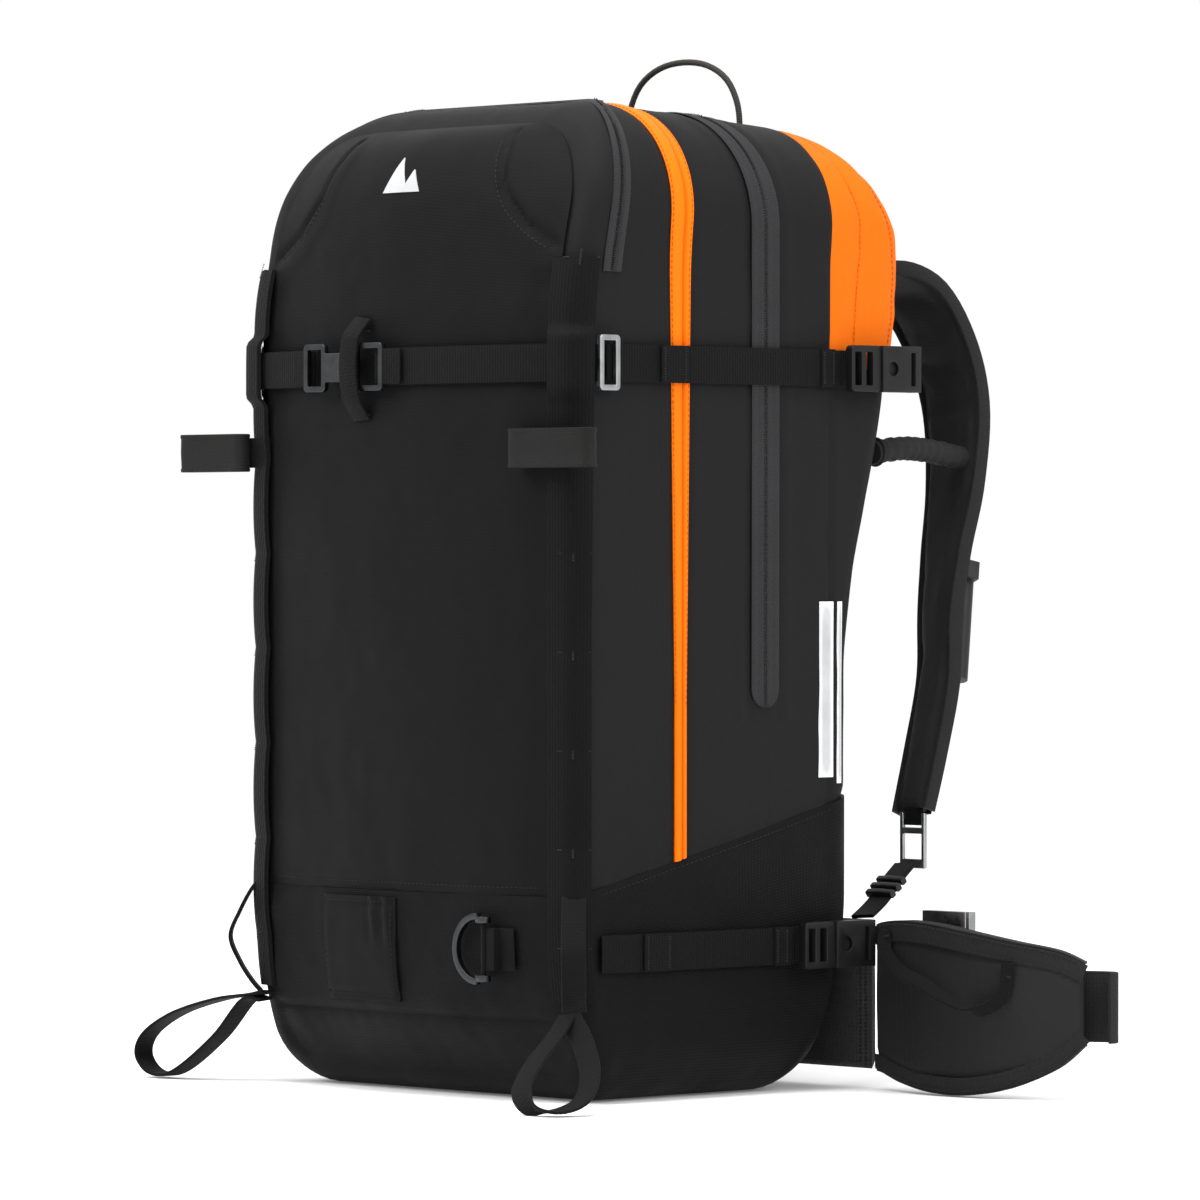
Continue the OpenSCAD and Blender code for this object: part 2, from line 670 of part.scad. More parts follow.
// Short webbing that holds the hook and ring together
module keeper_loop() {
    x = ring_x - 15;
    top = crown_z + 29;
    low = crown_z - 32;
    out = hardware_y - wire_d / 2 - 0.6 - web_t / 2;
    path = [[x + 5, front_at(x, top) - 1.2, top], [x + 2, out - 0.5, crown_z + 17],
        [x, out - 0.5, crown_z + 8], [x, out - 0.5, crown_z - 8], [x + 2, out, crown_z - 17],
        [x + 4, front_at(x, low) - 1.2, low]];
    color(black_web) ribbon(path, [1, 0, 0], 16, web_t);
}

// Webbing down each front edge, tacked at a regular pitch and proud between the tacks
daisy_top_z = flap_z - 4;
daisy_low_z = 62;
module daisy_chains() {
    count = floor((daisy_top_z - daisy_low_z) / tack_pitch);
    zs = concat([for (i = [0:count - 1], f = [0, 0.2, 0.5, 0.8])
        daisy_top_z - (i + f) * tack_pitch],
        steps(daisy_top_z - count * tack_pitch, daisy_low_z, 4));
    lift = function (z) let (f = (daisy_top_z - z) / tack_pitch, k = f - floor(f))
        abs(z - crown_z) < 24 ? 5.2 : (k > 0.1 && k < 0.9 && z > daisy_low_z + 35 ? 1.6 : 0.6);
    vs = [for (e = [0, 4, 9, 14]) e / (front_depth + back_depth)];
    row = function (z, d) let (t = t_at(z), s = d - lift(z)) concat([front_pt(0.955, t, s)],
        [for (v = vs) skin_v(t, v, s)]);
    order = turned(zs);
    grid = function (d) [for (i = [0:4]) [for (z = order) row(z, d)[i]]];
    color(black_web) both_sides() slab(grid(-lay_gap - web_t), grid(-lay_gap));
}

// Tab and rectangular ring for the D-ring, on the front of the boot
tab_z = 94;
d_ring_x = 84;
module ring_tab() {
    edge = half_w - front_edge_r;
    ts = [t_at(tab_z - 13), t_at(tab_z + 13)];
    out = ring_tab_y();
    color(black_web) {
        front_face(ts, -0.6 - web_t, -0.6, (d_ring_x - 4) / edge, (d_ring_x + 18) / edge, 4);
        translate([d_ring_x, out, tab_z - 20.5]) cylinder(d = wire_d, h = 41);
        translate([d_ring_x - 1, out, tab_z - 13]) cube([10, 5.5, 26]);
    }
}
function ring_tab_y() = front_at(d_ring_x, tab_z) - 6.5;

// D-shaped ring that swings on the tab's bar
module d_ring() {
    out_r = 22;
    in_r = out_r - 4;
    color("#2a2c2e") translate([d_ring_x, ring_tab_y(), tab_z]) {
        for (s = [-1, 1]) translate([0, 0, s * 18 - 2]) difference() {
            union() {
                cylinder(d = 8.5, h = 4);
                translate([-6, -2, 0]) cube([6, 4, 4]);
            }
            translate([0, 0, -1]) cylinder(d = wire_d + 0.1, h = 6);
        }
        translate([-5, 0, 0]) rotate([90, 0, 0]) translate([0, 0, -2]) linear_extrude(4)
            difference() {
                d_shape(out_r);
                d_shape(in_r);
            }
    }
}
module d_shape(r) {
    intersection() {
        circle(r);
        translate([-2 * r, -r]) square([2 * r, 2 * r]);
    }
}

// Hook-and-loop holders; each hangs on a vertical seam and swings out from it
holder_z = 400;
holder_h = 24;
holder_t = 12;
holder_y = -front_depth - 11.5;
module tool_holder(length) {
    color("#202022") translate([0, holder_y, holder_z - holder_h / 2]) linear_extrude(holder_h)
        translate([length / 2, 0]) difference() {
            round_rect(length, holder_t, holder_t / 2 - 0.1);
            round_rect(length - 4, holder_t - 4, holder_t / 2 - 2.1);
        }
}
module tool_holder_right() { translate([half_w - 44, 0, 0]) tool_holder(74); }
module tool_holder_left() { mirror([1, 0, 0]) translate([half_w - 9, 0, 0]) tool_holder(62); }

// Webbing loops at the base: the ski loops rest on the floor
ski_root = [half_w - 4, -front_depth - 1, 56];
ski_out = unit([0.73, -0.68, 0]);
ski_along = unit([0.68, 0.73, 0]);
ski_path_right = [for (p = [[0, 1, 0], [-8, 14, -12], [-20, 34, -26], [-28, 54, -41], [-22, 66, -51],
    [-6, 70, -53], [8, 64, -47], [13, 46, -33], [9, 24, -16], [2, 6, -3]])
    p[0] * ski_along + p[1] * ski_out + [0, 0, p[2]]];
ski_path_left = [[0, 0, 0], [28, -4, -4], [62, -10, -14], [86, -14, -28], [92, -15, -42],
    [80, -14, -53], [60, -11, -51], [28, -5, -28], [4, -2, -4]];
module ski_loops() {
    right = [for (p = ski_path_right) ski_root + p];
    left = [for (p = ski_path_left) ski_root + p];
    color(black_web) {
        ribbon(spline(right, 4), unit(-0.75 * ski_out - 0.65 * ski_along), loop_web_w, 2);
        mirror([1, 0, 0]) ribbon(spline(left, 4), [0, 1, 0], loop_web_w, 2);
    }
}

module small_loops() {
    diagonal = unit([1, -1, 0]);
    corner = [half_w - front_edge_r * (1 - 0.707), -front_depth + front_edge_r * (1 - 0.707), 0];
    path = [for (p = [[6.5, -4], [14, -18], [20, -34], [14, -50], [6.5, -62]])
        corner + p[0] * diagonal + [0, 0, seam_front_z + p[1]]];
    color(black_web) both_sides() ribbon(spline(path, 4), unit([1, 1, 0]), loop_web_w, 2);
}

module red_tab() {
    color("#e8442a") translate([-half_w - 9.7, -front_depth + 14, seam_front_z + 8])
        cube([8.5, 1.6, 16]);
}

// Haul loop on the crown, a round cord with both ends sewn in
haul_path = [[-52, 112, 602], [-50, 112, 622], [-40, 112, 639], [-22, 112, 649],
    [0, 112, 652], [22, 112, 649], [40, 112, 639], [50, 112, 622], [52, 112, 602]];
module haul_loop() {
    color(black_web) translate([0, 0, bag_h - 618]) tube(spline(haul_path, 4), cord_d / 2, 8);
}

// ---- Zip sliders on the left side ----

module slider_at(y, z, out) {
    p = skin(-t_at(z), y, 0);
    translate([p[0] - out - 3.5, y - 4.5, z]) cube([3.5, 9, 12]);
    translate([p[0] - out - 2.6, y - 2, z - 20]) cube([1.8, 4, 21]);
}
module main_zip_slider() { color(steel) slider_at(main_zip_y, 190, 0.4); }
module side_zip_slider() { color(steel) slider_at(side_zip_y, side_zip_z + 24, 2.2); }
module pocket_zip_slider() {
    color(steel) slider_at(-front_depth + 27, flap_z - 8, 2.2);
}

// ---- Hip belt ----

belt_y = back_depth + 3 + belt_t / 2;
wing_root_x = half_w + 15;
root_z = 12;
lumbar_end = wing_root_x - belt_t / 2 - 1;

// Padded middle of the belt, fixed behind the bag's back
module lumbar_pad() {
    color("#2b2b2d") translate([-lumbar_end, back_depth + 0.5, root_z])
        cube([2 * lumbar_end, belt_t, belt_h - root_z]);
}

// Wing's centre line seen from above, its low and high edges
wing_path = [[-6.8, 0], [-4.5, 0], [0, 0], [8, -2], [30, -8], [60, -13], [90, -12], [118, -4], [142, 9], [156, 18]];
wing_low = [18, 14, 12, 11, 6, 2, 2, 8, 20, 34];
wing_half_t = concat([1.6, 5.3], [for (i = [0:7]) belt_t / 2]);
wing_high = [belt_h - 8, belt_h - 5, belt_h - 4, belt_h - 2, belt_h, belt_h - 1, belt_h - 5, belt_h - 10,
    belt_h - 15, belt_h - 22];
module hip_wing_right() {
    n = len(wing_path) - 1;
    base = [wing_root_x, belt_y];
    dir = function (i) unit(wing_path[min(i + 1, n)] - wing_path[max(i - 1, 0)]);
    pt = function (i, s, z) let (c = base + wing_path[i], w = dir(i))
        [c[0] - s * w[1], c[1] + s * w[0], z];
    ring = function (i)
        let (lo = wing_low[i], hi = wing_high[i], h = wing_half_t[i], s = min(4, 0.6 * h))
        [pt(i, -h, lo + s), pt(i, -h + s, lo), pt(i, h - s, lo), pt(i, h, lo + s),
         pt(i, h, hi - s), pt(i, h - s, hi), pt(i, -h + s, hi), pt(i, -h, hi - s)];
    color(black) loft([for (i = [0:n]) ring(i)]);
}
module hip_wing_left() { mirror([1, 0, 0]) hip_wing_right(); }

// Webbing gear loop on a wing's outer face, proud in the middle
gear_path = [[18, -16.2, 100], [22, -22, 88], [40, -27, 76], [62, -31, 70], [86, -31, 60],
    [104, -25, 54], [118, -16, 64], [122, -15.7, 84]];
module gear_loop_right() {
    base = [wing_root_x, belt_y, 0];
    color(black_web) ribbon(spline([for (p = gear_path) base + p], 3), [0.25, 1, 0.3], 9, 2);
}
module gear_loop_left() { mirror([1, 0, 0]) gear_loop_right(); }

belt_mid_z = 57;

// Webbing from the wing's end, folded back along its inner face
module belt_webbing_right() {
    path = [[150, 26], [160, 31], [168, 32], [172, 28], [172, 22]];
    inner = [[150, 26], [128, 15], [104, 5.5], [78, 0.5]];
    pts = [for (p = turned(rest(inner))) [wing_root_x + p[0], belt_y + p[1], belt_mid_z]];
    tail = [for (p = path) [wing_root_x + p[0], belt_y + p[1], belt_mid_z]];
    color(black_web) ribbon(concat(pts, tail), [0, 0, 1], belt_web_w, 2);
}
module belt_webbing_left() { mirror([1, 0, 0]) belt_webbing_right(); }

// Halves of the belt buckle, each on a bar at the inner end of its webbing
bar_x = wing_root_x + 72;
bar_y = belt_y + 5;
module buckle_half() {
    translate([bar_x, bar_y, belt_mid_z + 14]) {
        difference() {
            translate([-40, -3.5, -24]) cube([37, 7, 66]);
            translate([-32, -4.5, 0]) cube([20, 9, 30]);
        }
        translate([-4, -3, -24]) cube([4, 6, 66]);
    }
}
module belt_buckle_socket() { color(steel) buckle_half(); }
module belt_buckle_plug() { color(steel) mirror([1, 0, 0]) buckle_half(); }

// ---- Shoulder harness ----

strap_root = [strap_root_x, back_y(crown_z + 53, 0) + strap_t / 2 + 1.5, crown_z + 53];
strap_path = [[0, 0, 0], [4, 30, 14], [12, 62, 2], [20, 84, -33], [27, 92, -75],
    [34, 84, -125], [43, 66, -170], [53, 50, -210], [61, 40, -250], [66, 24, -293], [70, 8, -333]];
strap_widths = [strap_w, strap_w + 4, strap_w + 5, strap_w + 3, strap_w, strap_w - 4,
    strap_w - 9, strap_w - 13, strap_w - 17, strap_w - 22, strap_w - 27];
strap_across = [[1, 0, 0], [1, 0, 0], [1, 0, 0], [1, -0.05, 0], [1, -0.12, 0], [1, -0.22, 0],
    [1, -0.32, 0], [1, -0.36, 0], [1, -0.3, 0], [1, -0.2, 0], [1, -0.1, 0]];

module shoulder_strap_right() {
    pts = [for (p = strap_path) strap_root + p];
    color(black) ribbon(spline(pts, 2), spline(strap_across, 2), spline(strap_widths, 2),
        strap_t, 4);
}
module shoulder_strap_left() { mirror([1, 0, 0]) shoulder_strap_right(); }

// Metal hook at the strap's lower end
hook_top = strap_root + strap_path[10];
module strap_hook_right() {
    color(steel) translate(hook_top + [1, -1, 0]) {
        translate([-11, -1.5, -36]) cube([22, 3, 6]);
        for (x = [-11, 8]) translate([x, -1.5, -36]) cube([3, 3, 35.4]);
        translate([-11, -1.5, -14]) cube([22, 3, 4]);
    }
}
module strap_hook_left() { mirror([1, 0, 0]) strap_hook_right(); }

// Webbing that the hook pulls on, sewn to the belt's fixed middle
module strap_anchors() {
    end = hook_top + [1, -8, -33];
    start = [half_w - 2, back_depth + 8, belt_h + 1.4];
    path = [start, mix(start, end, 0.35) + [0, 0, -2], mix(start, end, 0.7), end];
    color(black_web) both_sides() ribbon(path, [1, 0, 0], 18, 2.4);
}

// Fabric sleeve that carries the cable from the bag to the right strap
module cable_sleeve() {
    x0 = half_w - 14;
    y0 = back_y(sleeve_z, 0) + 1;
    path = [[x0, y0, sleeve_z], [x0 - 4, y0 + 31, sleeve_z + 3], [x0 - 12, y0 + 63, sleeve_z + 2],
        [x0 - 21, y0 + 101, sleeve_z - 2]];
    color(black) tube(spline(path, 4), 8, 10);
}

// Pull grip stowed on the outer face of the right strap
grip_i = 7;
grip_d = 13;
module trigger_handle() {
    down = unit(strap_path[grip_i + 1] - strap_path[grip_i - 1]);
    out = unit(cross(strap_across[grip_i], down));
    side = cross(out, -down);
    at = strap_root + strap_path[grip_i] + (strap_t / 2 + grip_d / 2 + 3) * out;
    color("#2a2a2c") multmatrix([for (i = [0:2]) [side[i], out[i], -down[i], at[i]]])
        translate([0, 0, -grip_l / 2]) {
            cylinder(d = grip_d, h = grip_l);
            translate([-13, -4, grip_l - 12]) cube([26, 8, 12]);
        }
}

base_panel();
boot();
front_panel();
pick_patch();
pocket_divider();
front_gusset();
pocket_zip();
main_zip();
side_gusset();
side_zip();
rear_gusset();
airbag_cover();
back_panel();
lumbar_pad();
frame_sheet();
frame_stays();
folded_airbag();
inflation_unit();
cable_housing();
cable_sleeve();
daisy_chains();
front_strap();
keeper_loop();
strap_rings();
upper_side_straps();
lower_side_straps();
buckle_sockets();
ring_tab();
ski_loops();
small_loops();
red_tab();
haul_loop();
strap_anchors();
pocket_flap();
pocket_zip_slider();
main_zip_slider();
side_zip_slider();
front_hook();
d_ring();
tool_holder_left();
tool_holder_right();
upper_buckle_left();
upper_buckle_right();
lower_buckle_left();
lower_buckle_right();
hip_wing_left();
hip_wing_right();
gear_loop_left();
gear_loop_right();
belt_webbing_left();
belt_webbing_right();
belt_buckle_plug();
belt_buckle_socket();
shoulder_strap_left();
shoulder_strap_right();
strap_hook_left();
strap_hook_right();
trigger_handle();
trigger_pin();
gas_cartridge();
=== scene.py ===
import bpy, bmesh, json, math
import numpy as np
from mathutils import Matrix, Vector, noise

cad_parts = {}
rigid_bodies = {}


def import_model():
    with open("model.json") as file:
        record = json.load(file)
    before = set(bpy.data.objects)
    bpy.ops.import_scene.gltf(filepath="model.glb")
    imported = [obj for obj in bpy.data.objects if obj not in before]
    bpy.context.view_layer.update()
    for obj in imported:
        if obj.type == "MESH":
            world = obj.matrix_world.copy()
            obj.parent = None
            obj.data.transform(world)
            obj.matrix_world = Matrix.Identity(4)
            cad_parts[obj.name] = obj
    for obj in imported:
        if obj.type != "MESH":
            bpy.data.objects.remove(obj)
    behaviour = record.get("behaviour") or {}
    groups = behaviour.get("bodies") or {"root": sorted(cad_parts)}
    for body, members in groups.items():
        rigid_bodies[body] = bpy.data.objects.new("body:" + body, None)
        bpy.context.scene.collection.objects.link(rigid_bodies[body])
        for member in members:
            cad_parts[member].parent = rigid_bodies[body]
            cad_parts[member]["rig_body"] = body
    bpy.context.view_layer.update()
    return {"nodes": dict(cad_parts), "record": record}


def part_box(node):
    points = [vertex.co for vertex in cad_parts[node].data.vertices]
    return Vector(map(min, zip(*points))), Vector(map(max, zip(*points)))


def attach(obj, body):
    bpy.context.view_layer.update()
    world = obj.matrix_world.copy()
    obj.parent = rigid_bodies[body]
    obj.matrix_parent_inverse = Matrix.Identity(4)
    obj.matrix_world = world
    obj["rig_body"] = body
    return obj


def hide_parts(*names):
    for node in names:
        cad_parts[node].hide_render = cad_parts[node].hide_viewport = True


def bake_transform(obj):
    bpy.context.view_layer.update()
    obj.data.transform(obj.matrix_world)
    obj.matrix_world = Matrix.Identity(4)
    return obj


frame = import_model()
MM = 0.001
scene = bpy.context.scene

# ---------------------------------------------------------------- camera
AZIMUTH = math.radians(47)
CAM_DISTANCE = 4.595
CAM_HEIGHT = 0.332
camera_data = bpy.data.cameras.new("camera")
camera_data.lens = 217.8
camera_data.sensor_width = 36
camera = bpy.data.objects.new("camera", camera_data)
scene.collection.objects.link(camera)
camera.location = (CAM_DISTANCE * math.sin(AZIMUTH), -CAM_DISTANCE * math.cos(AZIMUTH), CAM_HEIGHT)
aim = Vector((0.019, 0.0203, 0.3067))
camera.rotation_euler = (aim - camera.location).to_track_quat("-Z", "Y").to_euler()
scene.camera = camera

# ---------------------------------------------------------------- the bag's surface, in mm
HALF_W, BAG_H, FRONT, BACK = 150, 618, 125, 118
TOP_R, BASE_R, FRONT_R, BACK_R = 75, 35, 16, 18
FLAP_Z, CROWN_Z, LOW_Z = 520, 452, 240
SEAM_FRONT, SEAM_BACK = 127, 185
FLAT_TOP = HALF_W - TOP_R
ARC_TOP = TOP_R * math.pi / 2
CROWN_IN, BELLY = 65, 13          # how far the front leans back at the crown, and bulges
TOE_IN, TOE_Z = 30, 130           # tuck of the front's foot, and the height where it ends
HEEL_IN, HEEL_Z = 45, 125         # the same at the back
AIRBAG_OUT, BACK_LEAN = 47, 60    # the airbag pushes the upper back out; the crown rounds it
SIDE_OUT, CROWN_DROP = 4, 12
COVER_Y, COVER_TOP_Y = 95, 103    # front edge of the airbag cover, on the sides and on top
TOP_SIDE_Z = BAG_H - TOP_R
T_CORNER = FLAT_TOP + ARC_TOP
T_FOOT = T_CORNER + BAG_H - TOP_R - BASE_R
ARC_BASE = BASE_R * math.pi / 2
T_END = T_FOOT + ARC_BASE


def clamp(x, lo=0.0, hi=1.0):
    return min(max(x, lo), hi)


def mix(a, b, k):
    return a + (b - a) * k


def ease(k):
    c = clamp(k)
    return c * c * (3 - 2 * c)


def steps(a, b, n):
    return [mix(a, b, i / n) for i in range(n + 1)]


def bump(distance, width):
    return math.exp(-(distance / width) ** 2)


def round_over(e, r):
    """Sink of a rounded edge of radius r at distance e from it."""
    return r - math.sqrt(max(r * r - (r - e) ** 2, 0)) if e < r else 0


def outline(t, d):
    """Point (x, z) on the bag's outline: t runs from the crown's middle down a side, d mm inside the skin."""
    s, a = (1 if t >= 0 else -1), abs(t)
    if a < FLAT_TOP:
        return t, BAG_H - d
    if a < T_CORNER:
        w = (a - FLAT_TOP) / TOP_R
        return s * (FLAT_TOP + (TOP_R - d) * math.sin(w)), TOP_SIDE_Z + (TOP_R - d) * math.cos(w)
    if a < T_FOOT:
        return s * (HALF_W - d), TOP_SIDE_Z - (a - T_CORNER)
    w = (a - T_FOOT) / BASE_R
    return (s * (HALF_W - BASE_R + (BASE_R - d) * math.cos(w)), BASE_R - (BASE_R - d) * math.sin(w))


def t_at(z):
    """Station of a height on the bag's straight side."""
    return T_CORNER + TOP_SIDE_Z - z


def crown_k(z):
    return clamp((z - CROWN_Z) / (BAG_H - CROWN_Z))


def lean(z):
    """How far the front leans back at height z."""
    return CROWN_IN * (1 - math.sqrt(max(1 - crown_k(z) ** 2, 0)))


def front_y(z, d):
    """Depth of the front's side edge at height z."""
    toe = TOE_IN * (1 - z / TOE_Z) ** 3 if z < TOE_Z else 0
    return -FRONT + toe + lean(z) + d


def face_y(z, k, d):
    """Depth of the front face, which bulges between its side edges at k = -1 and 1."""
    fade = math.sqrt(max(1 - clamp((z - CROWN_Z) / (BAG_H - FRONT_R - CROWN_Z)) ** 4, 0))
    return front_y(z, d) - (1 - k * k) * (BELLY * ease(z / 60) + 0.9 * lean(z)) * fade


def back_y(z, d):
    """Depth of the back at height z."""
    c = clamp((z - FLAP_Z) / (BAG_H - FLAP_Z))
    heel = HEEL_IN * (1 - z / HEEL_Z) ** 2 if z < HEEL_Z else 0
    crown = BACK_LEAN * (1 - math.sqrt(max(1 - c * c, 0)))
    return BACK - heel + AIRBAG_OUT * ease((z - 250) / 270) - crown - d


def drop(v, z):
    return CROWN_DROP * v * ease(crown_k(z))


def skin_v(t, v, d):
    """Point on the gusset at station t; v runs from the front edge, 0, to the back edge, 1."""
    z0 = outline(t, 0)[1]
    depth = back_y(z0, 0) - front_y(z0, 0)
    e = round_over(v * depth, FRONT_R) + round_over((1 - v) * depth, BACK_R)
    x, z = outline(t, d + e)
    puff = 1 + SIDE_OUT / HALF_W * math.sin(math.pi * v) * ease((z - d) / 60)
    return Vector((x * puff, mix(front_y(z, d), back_y(z, d), v), z - drop(v, z)))


def v_at(t, y):
    """The v of depth y at station t."""
    z = outline(t, 0)[1]
    return clamp((y - front_y(z, 0)) / (back_y(z, 0) - front_y(z, 0)))


def skin(t, y, d):
    return skin_v(t, v_at(t, y), d)


def front_pt(k, t, d):
    """Point on the front; k runs from its left edge, -1, to its right edge, 1."""
    x, z = outline(t, FRONT_R + d)
    return Vector((k * x, face_y(z, k, d), z))


def back_pt(k, t, d):
    x, z = outline(t, BACK_R + d)
    return Vector((k * x, back_y(z, d), z - drop(1, z)))


def seam_z(y):
    """Height of the boot's upper seam, which rises towards the back."""
    return mix(SEAM_FRONT, SEAM_BACK, clamp((y + FRONT) / (FRONT + BACK)))


def over_top(t):
    """1 over the crown and 0 down the sides."""
    return ease((T_CORNER + 40 - abs(t)) / (ARC_TOP + 40))


def cloth(p, size, stretch=(1, 1, 1)):
    """Smooth noise at a point, from about -1 to 1."""
    return noise.noise(Vector((p[0] * stretch[0], p[1] * stretch[1], p[2] * stretch[2])) / size)


# ---------------------------------------------------------------- materials
def new_material(name, rgb, rough, metallic=0.0):
    m = bpy.data.materials.new(name)
    m.use_nodes = True
    b = m.node_tree.nodes["Principled BSDF"]
    b.inputs["Base Color"].default_value = (*rgb, 1)
    b.inputs["Roughness"].default_value = rough
    b.inputs["Metallic"].default_value = metallic
    return m, m.node_tree, b


def math_node(tree, kind, a, b):
    n = tree.nodes.new("ShaderNodeMath")
    n.operation = kind
    for i, v in enumerate((a, b)):
        if isinstance(v, (int, float)):
            n.inputs[i].default_value = v
        else:
            tree.links.new(v, n.inputs[i])
    return n.outputs[0]


def noise_node(tree, coord, scale, detail=3, rough=0.55):
    n = tree.nodes.new("ShaderNodeTexNoise")
    n.inputs["Scale"].default_value = scale
    n.inputs["Detail"].default_value = detail
    n.inputs["Roughness"].default_value = rough
    tree.links.new(coord, n.inputs["Vector"])
    return n.outputs["Fac"]


def wave_node(tree, coord, period, axis, kind="BANDS", distort=0.0):
    n = tree.nodes.new("ShaderNodeTexWave")
    n.wave_type = kind
    if kind == "BANDS":
        n.bands_direction = axis
    n.inputs["Scale"].default_value = math.pi / 10 / period
    n.inputs["Distortion"].default_value = distort
    tree.links.new(coord, n.inputs["Vector"])
    return n.outputs["Fac"]


def ramp(tree, fac, a, b, lo=0.0, hi=1.0):
    n = tree.nodes.new("ShaderNodeMapRange")
    n.inputs["From Min"].default_value = lo
    n.inputs["From Max"].default_value = hi
    n.inputs["To Min"].default_value = a
    n.inputs["To Max"].default_value = b
    tree.links.new(fac, n.inputs["Value"])
    return n.outputs["Result"]


def tint(tree, shader, rgb, fac, dark, light):
    n = tree.nodes.new("ShaderNodeMix")
    n.data_type = "RGBA"
    tree.links.new(fac, n.inputs["Factor"])
    n.inputs["A"].default_value = (*[c * dark for c in rgb], 1)
    n.inputs["B"].default_value = (*[min(c * light, 1) for c in rgb], 1)
    tree.links.new(n.outputs["Result"], shader.inputs["Base Color"])


def add_bump(tree, shader, height, distance, strength=1.0):
    n = tree.nodes.new("ShaderNodeBump")
    n.inputs["Strength"].default_value = strength
    n.inputs["Distance"].default_value = distance
    tree.links.new(height, n.inputs["Height"])
    tree.links.new(n.outputs["Normal"], shader.inputs["Normal"])


def woven(name, rgb, thread=0.0008, rough=0.6, sheen=0.2, relief=0.00012, tone=0.25, uv=True):
    """Plain-weave fabric: crossing threads, mottled dye and fine fuzz."""
    m, tree, shader = new_material(name, rgb, rough)
    tc = tree.nodes.new("ShaderNodeTexCoord")
    coord, obj = tc.outputs["UV" if uv else "Object"], tc.outputs["Object"]
    across = wave_node(tree, coord, thread, "X")
    along = wave_node(tree, coord, thread, "Y")
    weave = math_node(tree, "MULTIPLY", across, along)
    if not uv:
        weave = math_node(tree, "MULTIPLY", weave, wave_node(tree, coord, thread, "Z"))
    slub = noise_node(tree, obj, 900, 2)
    blotch = noise_node(tree, obj, 14, 4)
    height = math_node(tree, "ADD", weave, math_node(tree, "MULTIPLY", slub, 0.7))
    mottle = math_node(tree, "ADD", math_node(tree, "MULTIPLY", blotch, 0.6),
                       math_node(tree, "MULTIPLY", math_node(tree, "ADD", slub, weave), 0.3))
    tint(tree, shader, rgb, mottle, 1 - tone, 1 + tone)
    tree.links.new(ramp(tree, blotch, rough - 0.07, rough + 0.07, 0.3, 0.7), shader.inputs["Roughness"])
    add_bump(tree, shader, height, relief)
    shader.inputs["Sheen Weight"].default_value = sheen * 0.06
    shader.inputs["Sheen Roughness"].default_value = 0.45
    shader.inputs["Specular IOR Level"].default_value = 0.05
    return m


def webbing(name, rgb, rib=0.0022, rough=0.62, fine=0.0009):
    """Narrow woven tape: ribs across its length and fine lines along it."""
    m, tree, shader = new_material(name, rgb, rough)
    tc = tree.nodes.new("ShaderNodeTexCoord")
    coord = tc.outputs["UV"]
    ribs = wave_node(tree, coord, rib, "X")
    lines = wave_node(tree, coord, fine, "Y")
    slant = wave_node(tree, coord, rib * 1.4, "DIAGONAL")
    fuzz = noise_node(tree, tc.outputs["Object"], 1400, 2)
    blotch = noise_node(tree, tc.outputs["Object"], 25, 3)
    height = math_node(tree, "ADD", math_node(tree, "ADD", ribs, math_node(tree, "MULTIPLY", lines, 0.5)),
                       math_node(tree, "MULTIPLY", math_node(tree, "ADD", fuzz, slant), 0.4))
    mottle = math_node(tree, "ADD", math_node(tree, "MULTIPLY", height, 0.22),
                       math_node(tree, "MULTIPLY", blotch, 0.4))
    tint(tree, shader, rgb, mottle, 0.65, 1.5)
    add_bump(tree, shader, height, 0.00018)
    shader.inputs["Sheen Weight"].default_value = 0.03
    shader.inputs["Specular IOR Level"].default_value = 0.05
    return m


def knitted(name, rgb):
    """Open spacer mesh with round holes, bumped in; the hole centres are tinted dark as painted shade."""
    m, tree, shader = new_material(name, rgb, 0.8)
    tc = tree.nodes.new("ShaderNodeTexCoord")
    cells = tree.nodes.new("ShaderNodeTexVoronoi")
    cells.inputs["Scale"].default_value = 420
    cells.inputs["Randomness"].default_value = 0.25
    tree.links.new(tc.outputs["Object"], cells.inputs["Vector"])
    hole_depth_and_shade = ramp(tree, cells.outputs["Distance"], 0, 1, 0.18, 0.5)
    fuzz = noise_node(tree, tc.outputs["Object"], 40, 4)
    # hole centres tinted down to 0.3 of the colour: painted shade inside the holes; the fuzz adds random tone
    tint(tree, shader, rgb, math_node(tree, "ADD", math_node(tree, "MULTIPLY", hole_depth_and_shade, 0.7),
                                      math_node(tree, "MULTIPLY", fuzz, 0.3)), 0.3, 1.5)
    add_bump(tree, shader, hole_depth_and_shade, 0.0007)
    shader.inputs["Sheen Weight"].default_value = 0.04
    shader.inputs["Specular IOR Level"].default_value = 0.05
    return m


def moulded(name, rgb, rough=0.42):
    """Spark-textured plastic with worn edges."""
    m, tree, shader = new_material(name, rgb, rough)
    tc = tree.nodes.new("ShaderNodeTexCoord")
    grain = noise_node(tree, tc.outputs["Object"], 2600, 2)
    smear = noise_node(tree, tc.outputs["Object"], 45, 4)
    geometry = tree.nodes.new("ShaderNodeNewGeometry")
    worn = ramp(tree, geometry.outputs["Pointiness"], 0, 1, 0.52, 0.62)
    tint(tree, shader, rgb, math_node(tree, "ADD", math_node(tree, "MULTIPLY", worn, 0.7),
                                      math_node(tree, "MULTIPLY", smear, 0.4)), 0.75, 2.2)
    tree.links.new(ramp(tree, smear, rough - 0.08, rough + 0.1, 0.3, 0.7), shader.inputs["Roughness"])
    add_bump(tree, shader, grain, 0.00006)
    shader.inputs["Specular IOR Level"].default_value = 0.2
    return m


